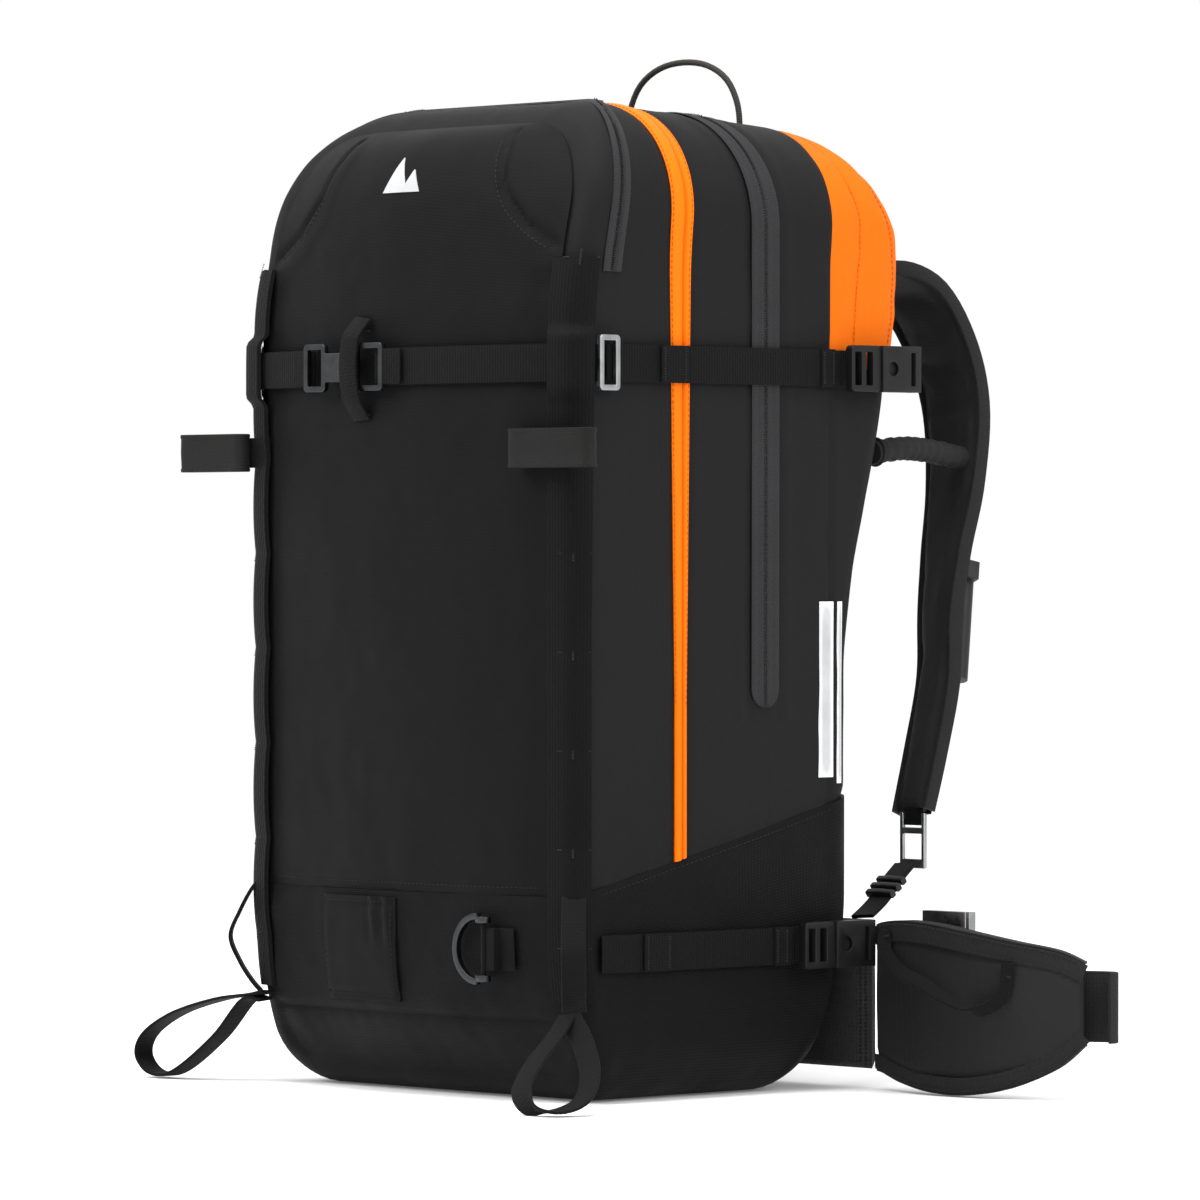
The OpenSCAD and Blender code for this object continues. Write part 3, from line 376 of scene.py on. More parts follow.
def metal(name, rgb, rough=0.3):
    """Cast and tumbled metal, with faint brushing and scuffs."""
    m, tree, shader = new_material(name, rgb, rough, 1.0)
    tc = tree.nodes.new("ShaderNodeTexCoord")
    stretch = tree.nodes.new("ShaderNodeMapping")
    stretch.inputs["Scale"].default_value = (1, 1, 0.06)
    tree.links.new(tc.outputs["Object"], stretch.inputs["Vector"])
    brush = noise_node(tree, stretch.outputs["Vector"], 1800, 2)
    scuff = noise_node(tree, tc.outputs["Object"], 120, 5, 0.7)
    tint(tree, shader, rgb, scuff, 0.8, 1.15)
    tree.links.new(ramp(tree, scuff, rough - 0.1, rough + 0.16, 0.3, 0.7), shader.inputs["Roughness"])
    add_bump(tree, shader, brush, 0.00003)
    return m


BLACK = (0.0042, 0.0042, 0.0045)
SHELL = woven("shell_weave", BLACK, thread=0.0009, rough=0.5, sheen=0.12, relief=0.00011)
SIDE = woven("side_weave", (0.0088, 0.0088, 0.0094), thread=0.0008, rough=0.56, sheen=0.15)
BOOT = woven("boot_weave", (0.0040, 0.0040, 0.0043), thread=0.0013, rough=0.52, sheen=0.12, relief=0.0002)
LINING = woven("flap_trim", (0.0050, 0.0050, 0.0053), thread=0.0007, rough=0.6)
PAD = woven("pad_weave", (0.0150, 0.0150, 0.0158), thread=0.0011, rough=0.66, sheen=0.25, uv=False)
ORANGE = woven("orange_weave", (0.60, 0.112, 0.003), thread=0.0008, rough=0.5, sheen=0.1, tone=0.1)
ZIP_ORANGE = woven("orange_zip_tape", (0.74, 0.138, 0.002), thread=0.0011, rough=0.42, sheen=0.05, tone=0.08)
WEB = webbing("black_webbing", (0.0030, 0.0030, 0.0032))
WEB_FINE = webbing("black_tape", (0.0046, 0.0046, 0.0048), rib=0.0012, fine=0.0007)
BELT_WEB = webbing("belt_webbing_ribbed", (0.0150, 0.0150, 0.0155), rib=0.0016, fine=0.0030)
ZIP_TAPE = webbing("zip_tape", (0.0210, 0.0210, 0.0222), rib=0.0010, fine=0.0014)
MESH = knitted("spacer_mesh", (0.020, 0.020, 0.021))
BINDING = webbing("edge_binding", (0.0135, 0.0135, 0.0142), rib=0.0011, fine=0.0008)
PLASTIC = moulded("buckle_black", (0.0048, 0.0048, 0.0052))
COIL = moulded("zip_coil", (0.0060, 0.0060, 0.0064), 0.35)
SYNTHETIC = woven("holder_leather", (0.0120, 0.0118, 0.0116), thread=0.0024, rough=0.46, relief=0.00025, uv=False)
STEEL = metal("bright_metal_cast", (0.30, 0.305, 0.31), 0.34)
DARK = metal("dark_anodised", (0.045, 0.047, 0.050), 0.36)
THREAD = woven("black_thread", (0.0190, 0.0190, 0.0200), thread=0.0005, rough=0.5, uv=False)
THREAD_ORANGE = woven("orange_thread", (0.60, 0.075, 0.003), thread=0.0005, rough=0.5, uv=False)
RED = woven("red_tab_weave", (0.72, 0.055, 0.02), thread=0.0009)
GRIP = moulded("grip_black", (0.012, 0.012, 0.013), 0.45)
MARK = moulded("reflective_print", (0.36, 0.365, 0.37), 0.5)
CORD = webbing("haul_cord", (0.030, 0.029, 0.028), rib=0.0016, fine=0.0012)
PAINT = moulded("cartridge_paint", (0.30, 0.42, 0.50), 0.32)
FRAME_SHEET = moulded("frame_sheet_plastic", (0.66, 0.66, 0.63), 0.5)
AIRBAG = woven("airbag_fabric", (0.75, 0.10, 0.012), thread=0.0008)
LAMINATE = moulded("pump_plastic", (0.012, 0.012, 0.013), 0.5)

SLOT_OF = {m["node"]: m["material_slot"] for m in frame["record"]["subparts"]}


# ---------------------------------------------------------------- mesh helpers
def finish_piece(name, verts, faces, mat, body, uvs=None, replaces=(), slot=None, angle=38):
    """Mesh from points in mm, riding on a body. uvs holds one (u, v) in metres per vertex."""
    mesh = bpy.data.meshes.new(name)
    mesh.from_pydata([tuple(c * MM for c in v) for v in verts], [], faces)
    mesh.validate()
    mesh.update()
    if uvs is not None:
        layer = mesh.uv_layers.new(name="UVMap")
        for loop in mesh.loops:
            layer.data[loop.index].uv = uvs[loop.vertex_index]
    mesh.shade_smooth()
    mesh.set_sharp_from_angle(angle=math.radians(angle))
    mesh.materials.append(mat)
    obj = bpy.data.objects.new(name, mesh)
    scene.collection.objects.link(obj)
    if body:
        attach(obj, body)
    if replaces:
        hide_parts(*replaces)
    slot or SLOT_OF[replaces[0]] if (slot or replaces) else "trim_webbing"
    return obj


def lengths(grid):
    """Distances along the rows and the columns of a grid of points, in metres."""
    n, m = len(grid), len(grid[0])
    mid_row, mid_col = grid[n // 2], [r[m // 2] for r in grid]
    along, across = [0.0], [0.0]
    for i in range(1, n):
        along.append(along[-1] + (mid_col[i] - mid_col[i - 1]).length * MM)
    for j in range(1, m):
        across.append(across[-1] + (mid_row[j] - mid_row[j - 1]).length * MM)
    return along, across


def slab(grid_out, grid_in):
    """Points, faces and uvs of a closed sheet between two grids; rows x columns = outwards."""
    n, m = len(grid_out), len(grid_out[0])
    o = n * m
    verts = [p for r in grid_out for p in r] + [p for r in grid_in for p in r]
    faces = []
    for i in range(n - 1):
        for j in range(m - 1):
            a = i * m + j
            faces.append((a, a + m, a + m + 1, a + 1))
            faces.append((o + a, o + a + 1, o + a + m + 1, o + a + m))
    for i in range(n - 1):
        a, b = i * m, i * m + m - 1
        faces.append((a, o + a, o + a + m, a + m))
        faces.append((b, b + m, o + b + m, o + b))
    for j in range(m - 1):
        a, b = j, (n - 1) * m + j
        faces.append((a, a + 1, o + a + 1, o + a))
        faces.append((b, o + b, o + b + 1, b + 1))
    along, across = lengths(grid_out)
    uv = [(along[i], across[j]) for i in range(n) for j in range(m)]
    return verts, faces, uv + uv


def join(parts):
    verts, faces, uvs = [], [], []
    for v, f, u in parts:
        k = len(verts)
        verts += v
        faces += [tuple(i + k for i in face) for face in f]
        uvs += u
    return verts, faces, uvs


def mirror(part):
    """A part's copy across the bag's middle, its faces still outwards."""
    v, f, u = part
    return [Vector((-p[0], p[1], p[2])) for p in v], [tuple(reversed(face)) for face in f], u


def both(part):
    return join([part, mirror(part)])


def catmull(points, n):
    """Smooth path through points; each may be a Vector or a number."""
    out = []
    for i in range(len(points) - 1):
        a, b = points[max(i - 1, 0)], points[i]
        c, d = points[i + 1], points[min(i + 2, len(points) - 1)]
        for s in range(n):
            u = s / n
            out.append(0.5 * (2 * b + (c - a) * u + (2 * a - 5 * b + 4 * c - d) * u * u
                              + (3 * b - a - 3 * c + d) * u * u * u))
    return out + [points[-1]]


def sweep(path, across, width, thick, round_n=3):
    """Closed strap along a path: a rounded rectangle, its width along across."""
    n = len(path)
    rings, uvs, along = [], [], 0.0
    for i, p in enumerate(path):
        tg = (path[min(i + 1, n - 1)] - path[max(i - 1, 0)]).normalized()
        a = across[i] if isinstance(across, list) else across
        nm = tg.cross(a).normalized()
        wd = nm.cross(tg).normalized()
        w = (width[i] if isinstance(width, list) else width) / 2
        h = (thick[i] if isinstance(thick, list) else thick) / 2
        r = min(h * 0.95, w * 0.45)
        if i:
            along += (p - path[i - 1]).length * MM
        for cx, cy, q in ((w - r, -h + r, -1), (w - r, h - r, 0), (-w + r, h - r, 1), (-w + r, -h + r, 2)):
            for s in range(round_n + 1):
                ang = (q + s / round_n) * math.pi / 2
                dx, dy = cx + r * math.cos(ang), cy + r * math.sin(ang)
                rings.append(p + wd * dx + nm * dy)
                uvs.append((along, (dx + w) * MM))
    m = 4 * (round_n + 1)
    faces = []
    for i in range(n - 1):
        for j in range(m):
            a, b = i * m + j, i * m + (j + 1) % m
            faces.append((a, b, b + m, a + m))
    faces.append(tuple(range(m - 1, -1, -1)))
    faces.append(tuple((n - 1) * m + j for j in range(m)))
    return rings, faces, uvs


def tube(path, radius, sides=10):
    n = len(path)
    rings, uvs, faces, along = [], [], [], 0.0
    side = None
    for i, p in enumerate(path):
        tg = (path[min(i + 1, n - 1)] - path[max(i - 1, 0)]).normalized()
        if side is None:
            side = tg.cross(Vector((0, 0, 1)) if abs(tg.z) < 0.9 else Vector((1, 0, 0))).normalized()
        side = (side - tg * side.dot(tg)).normalized()
        up = tg.cross(side)
        r = radius[i] if isinstance(radius, list) else radius
        if i:
            along += (p - path[i - 1]).length * MM
        for j in range(sides):
            w = 2 * math.pi * j / sides
            rings.append(p + side * (r * math.cos(w)) + up * (r * math.sin(w)))
            uvs.append((along, j / sides * 2 * math.pi * r * MM))
    for i in range(n - 1):
        for j in range(sides):
            a, b = i * sides + j, i * sides + (j + 1) % sides
            faces.append((a, b, b + sides, a + sides))
    faces.append(tuple(range(sides - 1, -1, -1)))
    faces.append(tuple((n - 1) * sides + j for j in range(sides)))
    return rings, faces, uvs


def stitch(a, b, nm, width=0.55, height=0.35):
    """One thread bridge between two points on a surface."""
    tg = (b - a).normalized()
    wd = nm.cross(tg).normalized() * width / 2
    up = nm * height
    mid0, mid1 = a.lerp(b, 0.22), a.lerp(b, 0.78)
    verts = [a - up * 0.5, mid0 + wd, mid0 + up, mid0 - wd, mid1 + wd, mid1 + up, mid1 - wd, b - up * 0.5,
             mid0 - up, mid1 - up]
    faces = [(0, 1, 2), (0, 2, 3), (0, 3, 8), (0, 8, 1), (1, 4, 5, 2), (2, 5, 6, 3), (3, 6, 9, 8), (8, 9, 4, 1),
             (7, 5, 4), (7, 6, 5), (7, 9, 6), (7, 4, 9)]
    return verts, faces, [(0, 0)] * 10


def resample(path, pitch):
    """Points at an even pitch along a polyline."""
    out, left = [path[0]], pitch
    for a, b in zip(path, path[1:]):
        span = (b - a).length
        if span < 1e-9:
            continue
        at = left
        while at <= span:
            out.append(a.lerp(b, at / span))
            at += pitch
        left = at - span
    return out


def stitch_row(surface, start, end, n=40, pitch=3.6, fill=0.7, lift=0.15, **size):
    """Run of stitches over surface(u), which gives a point and a normal for u from 0 to 1."""
    samples = [surface(mix(start, end, i / n)) for i in range(n + 1)]
    path = [s[0] for s in samples]
    spots = resample(path, pitch)
    parts = []
    for a, b in zip(spots, spots[1:]):
        near = min(range(len(path)), key=lambda i: (path[i] - a).length_squared)
        nm = samples[near][1]
        parts.append(stitch(a + nm * lift, a.lerp(b, fill) + nm * lift, nm, **size))
    return parts


def bar_tack(at, along, across, nm, length=10, width=1.8, count=9):
    """Dense zigzag tack: short threads along, stacked across a strap."""
    parts = []
    for i in range(count):
        c = at + across * (length * (i / (count - 1) - 0.5))
        parts.append(stitch(c - along * width / 2, c + along * width / 2, nm, 0.9, 0.45))
    return parts


STITCHES = {}


def sew(body, parts, mat=None):
    STITCHES.setdefault((body, mat or THREAD), []).extend(parts)


def refined(node, bevel, segments, mat, angle=30):
    """A CAD piece with its edges rounded off, standing in for the plain one."""
    src = frame["nodes"][node]
    mesh = src.data.copy()
    obj = bpy.data.objects.new(node + "_piece", mesh)
    scene.collection.objects.link(obj)
    bm = bmesh.new()
    bm.from_mesh(mesh)
    bmesh.ops.remove_doubles(bm, verts=bm.verts, dist=1e-6)
    bmesh.ops.dissolve_limit(bm, angle_limit=math.radians(2), verts=bm.verts, edges=bm.edges)
    edges = [e for e in bm.edges if e.is_manifold and e.calc_face_angle(0) > math.radians(angle)]
    bmesh.ops.bevel(bm, geom=edges, offset=bevel * MM, segments=segments, profile=0.5, affect="EDGES",
                    clamp_overlap=True)
    bmesh.ops.triangulate(bm, faces=[f for f in bm.faces if len(f.verts) > 4])
    bm.to_mesh(mesh)
    bm.free()
    mesh.shade_smooth()
    mesh.set_sharp_from_angle(angle=math.radians(35))
    mesh.materials.clear()
    mesh.materials.append(mat)
    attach(obj, src["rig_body"])
    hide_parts(node)
    return obj


# ---------------------------------------------------------------- haul loop
HAUL = [Vector(p) for p in ((-52, 112, 602), (-50, 112, 622), (-40, 112, 639), (-22, 112, 649), (0, 112, 652),
                            (22, 112, 649), (40, 112, 639), (50, 112, 622), (52, 112, 602))]
haul_path = catmull(HAUL, 4)
haul_length = sum((b - a).length for a, b in zip(haul_path, haul_path[1:])) * MM
v, f, u = tube(haul_path, 2.0, 12)
haul = finish_piece("haul_loop_cord", v, f, CORD, "bag", u, ["haul_loop"])


# ---------------------------------------------------------------- shell panels
def seam_dent(gap, width=2.6, depth=1.3):
    return depth * bump(gap, width)


def polyline_gap(x, z, line):
    """Distance in mm from (x, z) to a polyline."""
    best = 1e9
    for (x0, z0), (x1, z1) in zip(line, line[1:]):
        ux, uz = x1 - x0, z1 - z0
        k = clamp(((x - x0) * ux + (z - z0) * uz) / (ux * ux + uz * uz))
        best = min(best, math.hypot(x - x0 - k * ux, z - z0 - k * uz))
    return best


DARTS = [[(72, 596), (84, 560), (104, 538), (134, 521)], [(-72, 596), (-84, 560), (-104, 538), (-134, 521)]]


def front_relief(x, z):
    """How far the front face lies inside the plain skin, in mm."""
    r = 0.9 * cloth((x, 0, z), 46, (1, 1, 0.45)) + 0.35 * cloth((x, 9, z), 15)
    r += sum(seam_dent(polyline_gap(x, z, d), 2.2, 2.6) for d in DARTS)
    r -= sum(1.6 * bump(polyline_gap(x, z, [(p[0] * 0.94, p[1] - 9) for p in d]), 7) for d in DARTS)
    strap = bump(z - CROWN_Z, 17)
    r += 1.6 * strap - 0.5 * bump(z - CROWN_Z - 34, 13) - 0.5 * bump(z - CROWN_Z + 34, 13)
    r += 1.1 * bump(abs(x) - 124, 12) * ease((FLAP_Z - z) / 20)
    r += 1.2 * seam_dent(z - SEAM_FRONT, 3.5) + 0.5 * bump(z - SEAM_FRONT - 18, 12) * cloth((x, 4, z), 17)
    return max(r + 0.4, -0.5)


ks = steps(-1, 1, 92)
front_ts = [t_at(z) for z in steps(SEAM_FRONT, TOP_SIDE_Z, 116)] + steps(T_CORNER, FLAT_TOP, 30)[1:]


def front_cover_pt(k, t, extra):
    p = front_pt(k, t, 0)
    rim = ease((1 - abs(k)) / 0.05) * ease((t - FLAT_TOP) / 12)
    d = front_relief(p[0], p[2]) * rim + extra
    return front_pt(k, t, d) if extra else p + Vector((0, d, 0))


grid_out = [[front_cover_pt(k, t, 0) for t in front_ts] for k in ks]
grid_in = [[front_pt(k, t, 2.4) + Vector((0, 2.0, 0)) for t in front_ts] for k in ks]
v, f, u = slab(grid_out, grid_in)
front_cover = finish_piece("front_cover", v, f, SHELL, None, u, ["front_panel", "pocket_flap"])
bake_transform(front_cover)


SIDE_ZIP_Y = 34


def side_relief(p, t):
    """Small folds of the gusset, deeper towards the boot's seam and under the straps."""
    r = 0.8 * cloth(p, 52, (1, 1, 0.4)) + 0.35 * cloth(p, 17, (1, 1, 0.7))
    if abs(t) > T_CORNER:
        r += 1.3 * bump(p[2] - CROWN_Z, 15)
    if abs(t) < t_at(LOW_Z) + 8:
        r += 0.9 * bump(abs(p[1] - SIDE_ZIP_Y) - 13.5, 2.6) - 0.5 * bump(abs(p[1] - SIDE_ZIP_Y) - 20, 5)
    return max(r + 0.4, -0.35)


def band_grid(edge0, edge1, n_cols, rows, d, folds, seams=(True, True)):
    """Grid of a gusset band; edge0 and edge1 give v at the two edges for a station."""
    grid = []
    for s, frac in rows:
        row = []
        for j in range(n_cols + 1):
            k = j / n_cols
            t_ref = s if abs(s) < t_at(LOW_Z) else math.copysign(t_at(SEAM_FRONT), s)
            v = mix(edge0(t_ref), edge1(t_ref), k)
            t = s
            if frac is not None:
                z = mix(LOW_Z, seam_z(mix(-FRONT, BACK, v)), frac)
                t = math.copysign(t_at(z), s)
            p = skin_v(t, v, d)
            if folds:
                z0 = outline(t, 0)[1]
                depth = back_y(z0, 0) - front_y(z0, 0)
                width = (edge1(t_ref) - edge0(t_ref)) * depth
                dent = seam_dent(k * width) * seams[0] + seam_dent((1 - k) * width) * seams[1]
                if frac is not None:
                    dent += 1.2 * bump((1 - frac) * 60, 5)
                p = skin_v(t, v, d + min(side_relief(p, t) + dent, 2.3))
            row.append(p)
        grid.append(row)
    return grid


def band_rows(fine=150, low=34):
    """Stations from the left seam over the crown to the right one."""
    half = [(t, None) for t in steps(0, t_at(LOW_Z), fine)]
    half += [(t_at(LOW_Z), i / low) for i in range(1, low + 1)]
    return [(-t, f) for t, f in reversed(half[1:])] + half


def edge(y, y_top):
    return lambda t: v_at(t, mix(y, y_top, over_top(t)))


def band(name, edge0, edge1, cols, mat, node, seams=(True, True)):
    rows = band_rows()
    outer = band_grid(edge0, edge1, cols, rows, 0, True, seams)
    inner = band_grid(edge0, edge1, cols, rows, 2.5, False)
    v, f, u = slab(outer, inner)
    return finish_piece(name, v, f, mat, "bag", u, [node])


ZIP_Y, ZIP_TOP = -38, -26


def zip_edge(k):
    """Edge of the main zip: k is 0 at its front and 1 at its back; it narrows towards its foot."""
    def v_of(t):
        down = clamp((abs(t) - T_CORNER) / (t_at(LOW_Z) - 6 - T_CORNER))
        off = (2 * k - 1) * mix(9.2, 5.0, down)
        return v_at(t, mix(ZIP_Y + off, ZIP_TOP + off, over_top(t)))
    return v_of


band("front_gusset_cloth", lambda t: 0.0, zip_edge(0), 34, SIDE, "front_gusset")
band("side_gusset_cloth", zip_edge(1), edge(COVER_Y, COVER_TOP_Y), 40, SIDE, "side_gusset")

# Main zip: two coated tapes that meet over the coil, with a stitched fold at each side
rows = band_rows()


def zip_profile(k):
    return 0.9 - 1.6 * math.sin(math.pi * clamp(k / 0.62)) ** 0.8 * (k < 0.62) + 1.3 * bump(k - 0.64, 0.05) \
        - 0.7 * bump(k - 0.82, 0.1)


cols = steps(0, 1, 22)
outer = []
for s, frac in rows:
    row = []
    for k in cols:
        t_ref = s if abs(s) < t_at(LOW_Z) else math.copysign(t_at(SEAM_FRONT), s)
        v0 = zip_edge(k)(t_ref)
        t = s if frac is None else math.copysign(t_at(mix(LOW_Z, seam_z(mix(-FRONT, BACK, v0)), frac)), s)
        row.append(skin_v(t, v0, zip_profile(k)))
    outer.append(row)
inner = band_grid(zip_edge(0), zip_edge(1), 22, rows, 2.5, False)
v, f, u = slab(outer, inner)
finish_piece("main_zip_tapes", v, f, ZIP_ORANGE, "bag", u, ["main_zip"])

# Rear side panels and the airbag cover
half_rows = [(t, None) for t in steps(t_at(CROWN_Z), t_at(LOW_Z), 60)] + [(t_at(LOW_Z), i / 24) for i in range(1, 25)]
outer = band_grid(lambda t: v_at(t, COVER_Y), lambda t: 1.0, 26, half_rows, 0, True, (True, False))
inner = band_grid(lambda t: v_at(t, COVER_Y), lambda t: 1.0, 26, half_rows, 2.5, False)
v, f, u = both(slab(outer, inner))
finish_piece("rear_gusset_cloth", v, f, SIDE, "bag", u, ["rear_gusset"])


def cover_relief(p, k, t):
    """The folded airbag behind the cover pushes it out in soft lobes between tucks."""
    r = 1.0 * cloth(p, 34, (1, 1, 0.7)) + 0.5 * cloth(p, 13)
    r += 1.5 * bump(k - 0.36 - 0.03 * math.sin(t / 23), 0.018)
    r += 1.3 * bump(k - 0.80 - 0.02 * math.sin(t / 31), 0.03) - 0.5 * bump(k - 0.62, 0.14)
    return clamp(r + 0.5, -0.5, 2.2)


cover_rows = steps(-t_at(CROWN_Z), t_at(CROWN_Z), 240)
outer, inner = [], []
for t in cover_rows:
    v0 = v_at(t, mix(COVER_Y, COVER_TOP_Y, over_top(t)))
    row_o, row_i = [], []
    for k in steps(0, 1, 44):
        vv = mix(v0, 1, k)
        p = skin_v(t, vv, 0)
        rim = seam_dent(k * 60, 2.2, 1.2)
        row_o.append(skin_v(t, vv, cover_relief(p, k, t) * ease((1 - k) / 0.08) + rim))
        row_i.append(skin_v(t, vv, 2.5))
    outer.append(row_o)
    inner.append(row_i)
v, f, u = slab(outer, inner)
finish_piece("airbag_cover_cloth", v, f, ORANGE, "bag", u, ["airbag_cover"])

# Boot: left side, front and right side in one sheet
BOOT_ROWS = 46
side_vs = [0, 0.006, 0.014, 0.024, 0.036, 0.05, 0.066, 0.085] + steps(0.11, 0.90, 34) \
    + [0.915, 0.93, 0.944, 0.956, 0.967, 0.977, 0.986, 0.994, 1]


def boot_t(j, y):
    arc = 10
    if j <= arc:
        return T_END - ARC_BASE * j / arc
    return t_at(mix(BASE_R, seam_z(y), (j - arc) / (BOOT_ROWS - arc)))


def boot_relief(p):
    """Gathers under the seam, creases at the corners and a slack lower edge."""
    x, y, z = p
    r = 0.9 * cloth(p, 38, (1, 1, 0.7)) + 0.5 * cloth(p, 14)
    r += 1.3 * bump(z - LOWER_Z, 14) * (y > -100)
    corner = bump(abs(x) - 140, 34) * bump(y + 112, 40)
    r += corner * (1.1 * math.sin(z / 7.5 + x / 13 + 2 * cloth(p, 30)))
    r += 1.8 * bump(z - 50, 2.0) * ease((-70 - y) / 30) - 0.6 * bump(z - 58, 7) - 0.6 * bump(z - 40, 8)
    if y < -95 and abs(x + 32) < 62:
        r += 0.9 * math.sin((x + 32) / 5.2) * bump(z - 112, 22) * bump(abs(x + 32) - 40, 17)
    r += 1.1 * bump(seam_z(y) - z, 3)
    return clamp(r + 0.5, -0.5, 2.2)


LOWER_Z = 92


def boot_side(s, vv, j, d, fold):
    t = s * boot_t(j, mix(-FRONT, BACK, vv))
    if fold:
        d += boot_relief(skin_v(t, vv, 0)) * ease(j / 5)
    return skin_v(t, vv, d)


def boot_front(k, j, d, fold):
    t = boot_t(j, -FRONT)
    if fold:
        d += boot_relief(front_pt(k, t, 0)) * ease(j / 5) * ease((1 - abs(k)) / 0.05)
    return front_pt(k, t, d)


def boot_grid(d, fold):
    g = [[boot_side(-1, vv, j, d, fold * (0.09 < vv < 0.91)) for j in range(BOOT_ROWS + 1)] for vv in reversed(side_vs)]
    g += [[boot_front(k, j, d, fold) for j in range(BOOT_ROWS + 1)] for k in steps(-1, 1, 84)[1:]]
    g += [[boot_side(1, vv, j, d, fold * (0.09 < vv < 0.91)) for j in range(BOOT_ROWS + 1)] for vv in side_vs[1:]]
    return g


v, f, u = slab(boot_grid(0, True), boot_grid(2.5, False))
finish_piece("boot_cloth", v, f, BOOT, "bag", u, ["boot"])

# Base
profile = lambda d: [skin_v(T_END, vv, d) for vv in side_vs]
xs = steps(-115, 115, 40)
outer = [[Vector((x, p[1], p[2])) for p in reversed(profile(0))] for x in xs]
inner = [[Vector((x, p[1], p[2])) for p in reversed(profile(2.5))] for x in xs]
v, f, u = slab(outer, inner)
finish_piece("base_cloth", v, f, BOOT, "bag", u, ["base_panel"])


# Back panel: two long foam pads with an air channel between, in open mesh
def pad_relief(x, z):
    side = abs(x)
    channel = 5.5 * bump(side, 13) + 2.2 * bump(side - 112, 9)
    ribs = sum(3.0 * bump(z - c, 7) for c in (130, 210, 290, 370)) * ease((side - 16) / 14) * ease((112 - side) / 12)
    return channel + ribs + 0.4 * cloth((x, 0, z), 30)


back_ts = steps(T_END, T_FOOT, 10) + [t_at(z) for z in steps(BASE_R, TOP_SIDE_Z, 130)][1:] \
    + steps(T_CORNER, FLAT_TOP, 24)[1:]


def back_cloth(k, t):
    p = back_pt(k, t, 0)
    rim = ease((1 - abs(k)) / 0.12) * ease((t - FLAT_TOP) / 20) * ease((T_END - t) / 30)
    belt = 1 - ease((p[2] - 98) / 14)
    d = pad_relief(p[0], p[2]) * rim * (1 - 0.6 * belt)
    return p + Vector((0, -d, 0))


outer = [[back_cloth(k, t) for t in reversed(back_ts)] for k in steps(-1, 1, 90)]
inner = [[back_pt(k, t, 12) for t in reversed(back_ts)] for k in steps(-1, 1, 90)]
v, f, u = slab(outer, inner)
back_piece = finish_piece("back_panel_mesh", v, f, MESH, "bag", u, ["back_panel"])

# ---------------------------------------------------------------- zips
def zip_line(name, path_fn, stations, half, tape_mat, coil_mat, node, body="bag", cols=14):
    """Zip over a surface: tape with raised welts and a coil of teeth down its middle.
    path_fn(t, s, d) gives a point at station t, s mm across from the coil and d mm inside the skin."""
    def relief(s):
        a = abs(s)
        return -(0.2 + 0.9 * bump(a - (half - 2.0), 1.7) + 0.75 * bump(a - 3.0, 1.3))
    ss = steps(-half, half, cols)
    outer = [[path_fn(t, s, relief(s)) for s in ss] for t in stations]
    inner = [[path_fn(t, s, -0.05) for s in ss] for t in stations]
    v, f, u = slab(outer, inner)
    finish_piece(name + "_tape", v, f, tape_mat, body, u, [node])
    line = [path_fn(t, 0, -0.9) for t in stations]
    spots = resample(line, 1.45)
    teeth = []
    for i in range(1, len(spots) - 1):
        at = spots[i]
        tg = (spots[i + 1] - spots[i - 1]).normalized()
        j = min(range(len(line)), key=lambda q: (line[q] - at).length_squared) if i % 6 == 1 or i == 1 else j
        nm = (path_fn(stations[j], 0, -1) - path_fn(stations[j], 0, 0)).normalized()
        wd = nm.cross(tg).normalized()
        side = 1 if i % 2 else -1
        teeth.append(stitch(at - wd * 1.5 * side - nm * 0.2, at + wd * 1.2 * side - nm * 0.1, nm, 1.05, 0.55))
    v, f, u = join(teeth)
    coil = finish_piece(name + "_teeth", v, f, coil_mat, body, u, slot="trim_webbing")
    return coil


side_half = steps(0, t_at(LOW_Z) - 12, 140) + [t_at(LOW_Z) - g for g in (10.5, 9, 7.5, 6, 4.5, 3, 1.8, 0.8, 0.2)]
side_ts = [-t for t in reversed(side_half[1:])] + side_half


def side_zip_pt(t, s, d):
    """Foot of the tape is cut round."""
    from_end = t_at(LOW_Z) - abs(t)
    cut = math.sqrt(max(0.04, 1 - ((12 - from_end) / 12) ** 2)) if from_end < 12 else 1
    return skin(t, SIDE_ZIP_Y + s * cut, d)


zip_line("side_zip", side_zip_pt, side_ts, 12, ZIP_TAPE, COIL, "side_zip")
pz = [t_at(FLAP_Z - 12)] + [t_at(FLAP_Z)] + steps(T_CORNER, 0, 70)
pocket_ts = [-t for t in pz] + [t for t in reversed(pz)][1:]
pocket_ts = sorted(set(pocket_ts))


def pocket_zip_pt(t, s, d):
    return skin_v(t, 0.094 + 0.026 * s / 7.0, d)


zip_line("pocket_zip", pocket_zip_pt, pocket_ts, 7, ZIP_TAPE, COIL, "pocket_zip")


# Orange stitching down both edges of the main zip's coated tapes
def main_zip_pt(t, k, d):
    return skin_v(t, zip_edge(k)(t), d)


for s in (-1, 1):
    for kk, m in ((0.07, THREAD_ORANGE), (0.93, THREAD_ORANGE)):
        def along(uu, s=s, kk=kk):
            t = s * uu
            p = main_zip_pt(t, kk, 0)
            nm = (main_zip_pt(t, kk, -1) - p).normalized()
            return p + nm * (-zip_profile(kk)), nm
        sew("bag", stitch_row(along, 0, t_at(LOW_Z), 160), m)

# ---------------------------------------------------------------- webbing on the bag
WEB_GAP, WEB_T, WEB_W = 1.6, 1.8, 23
STRAP_OUT = WEB_GAP + WEB_T
RING_Y = -FRONT + FRONT_R + 6


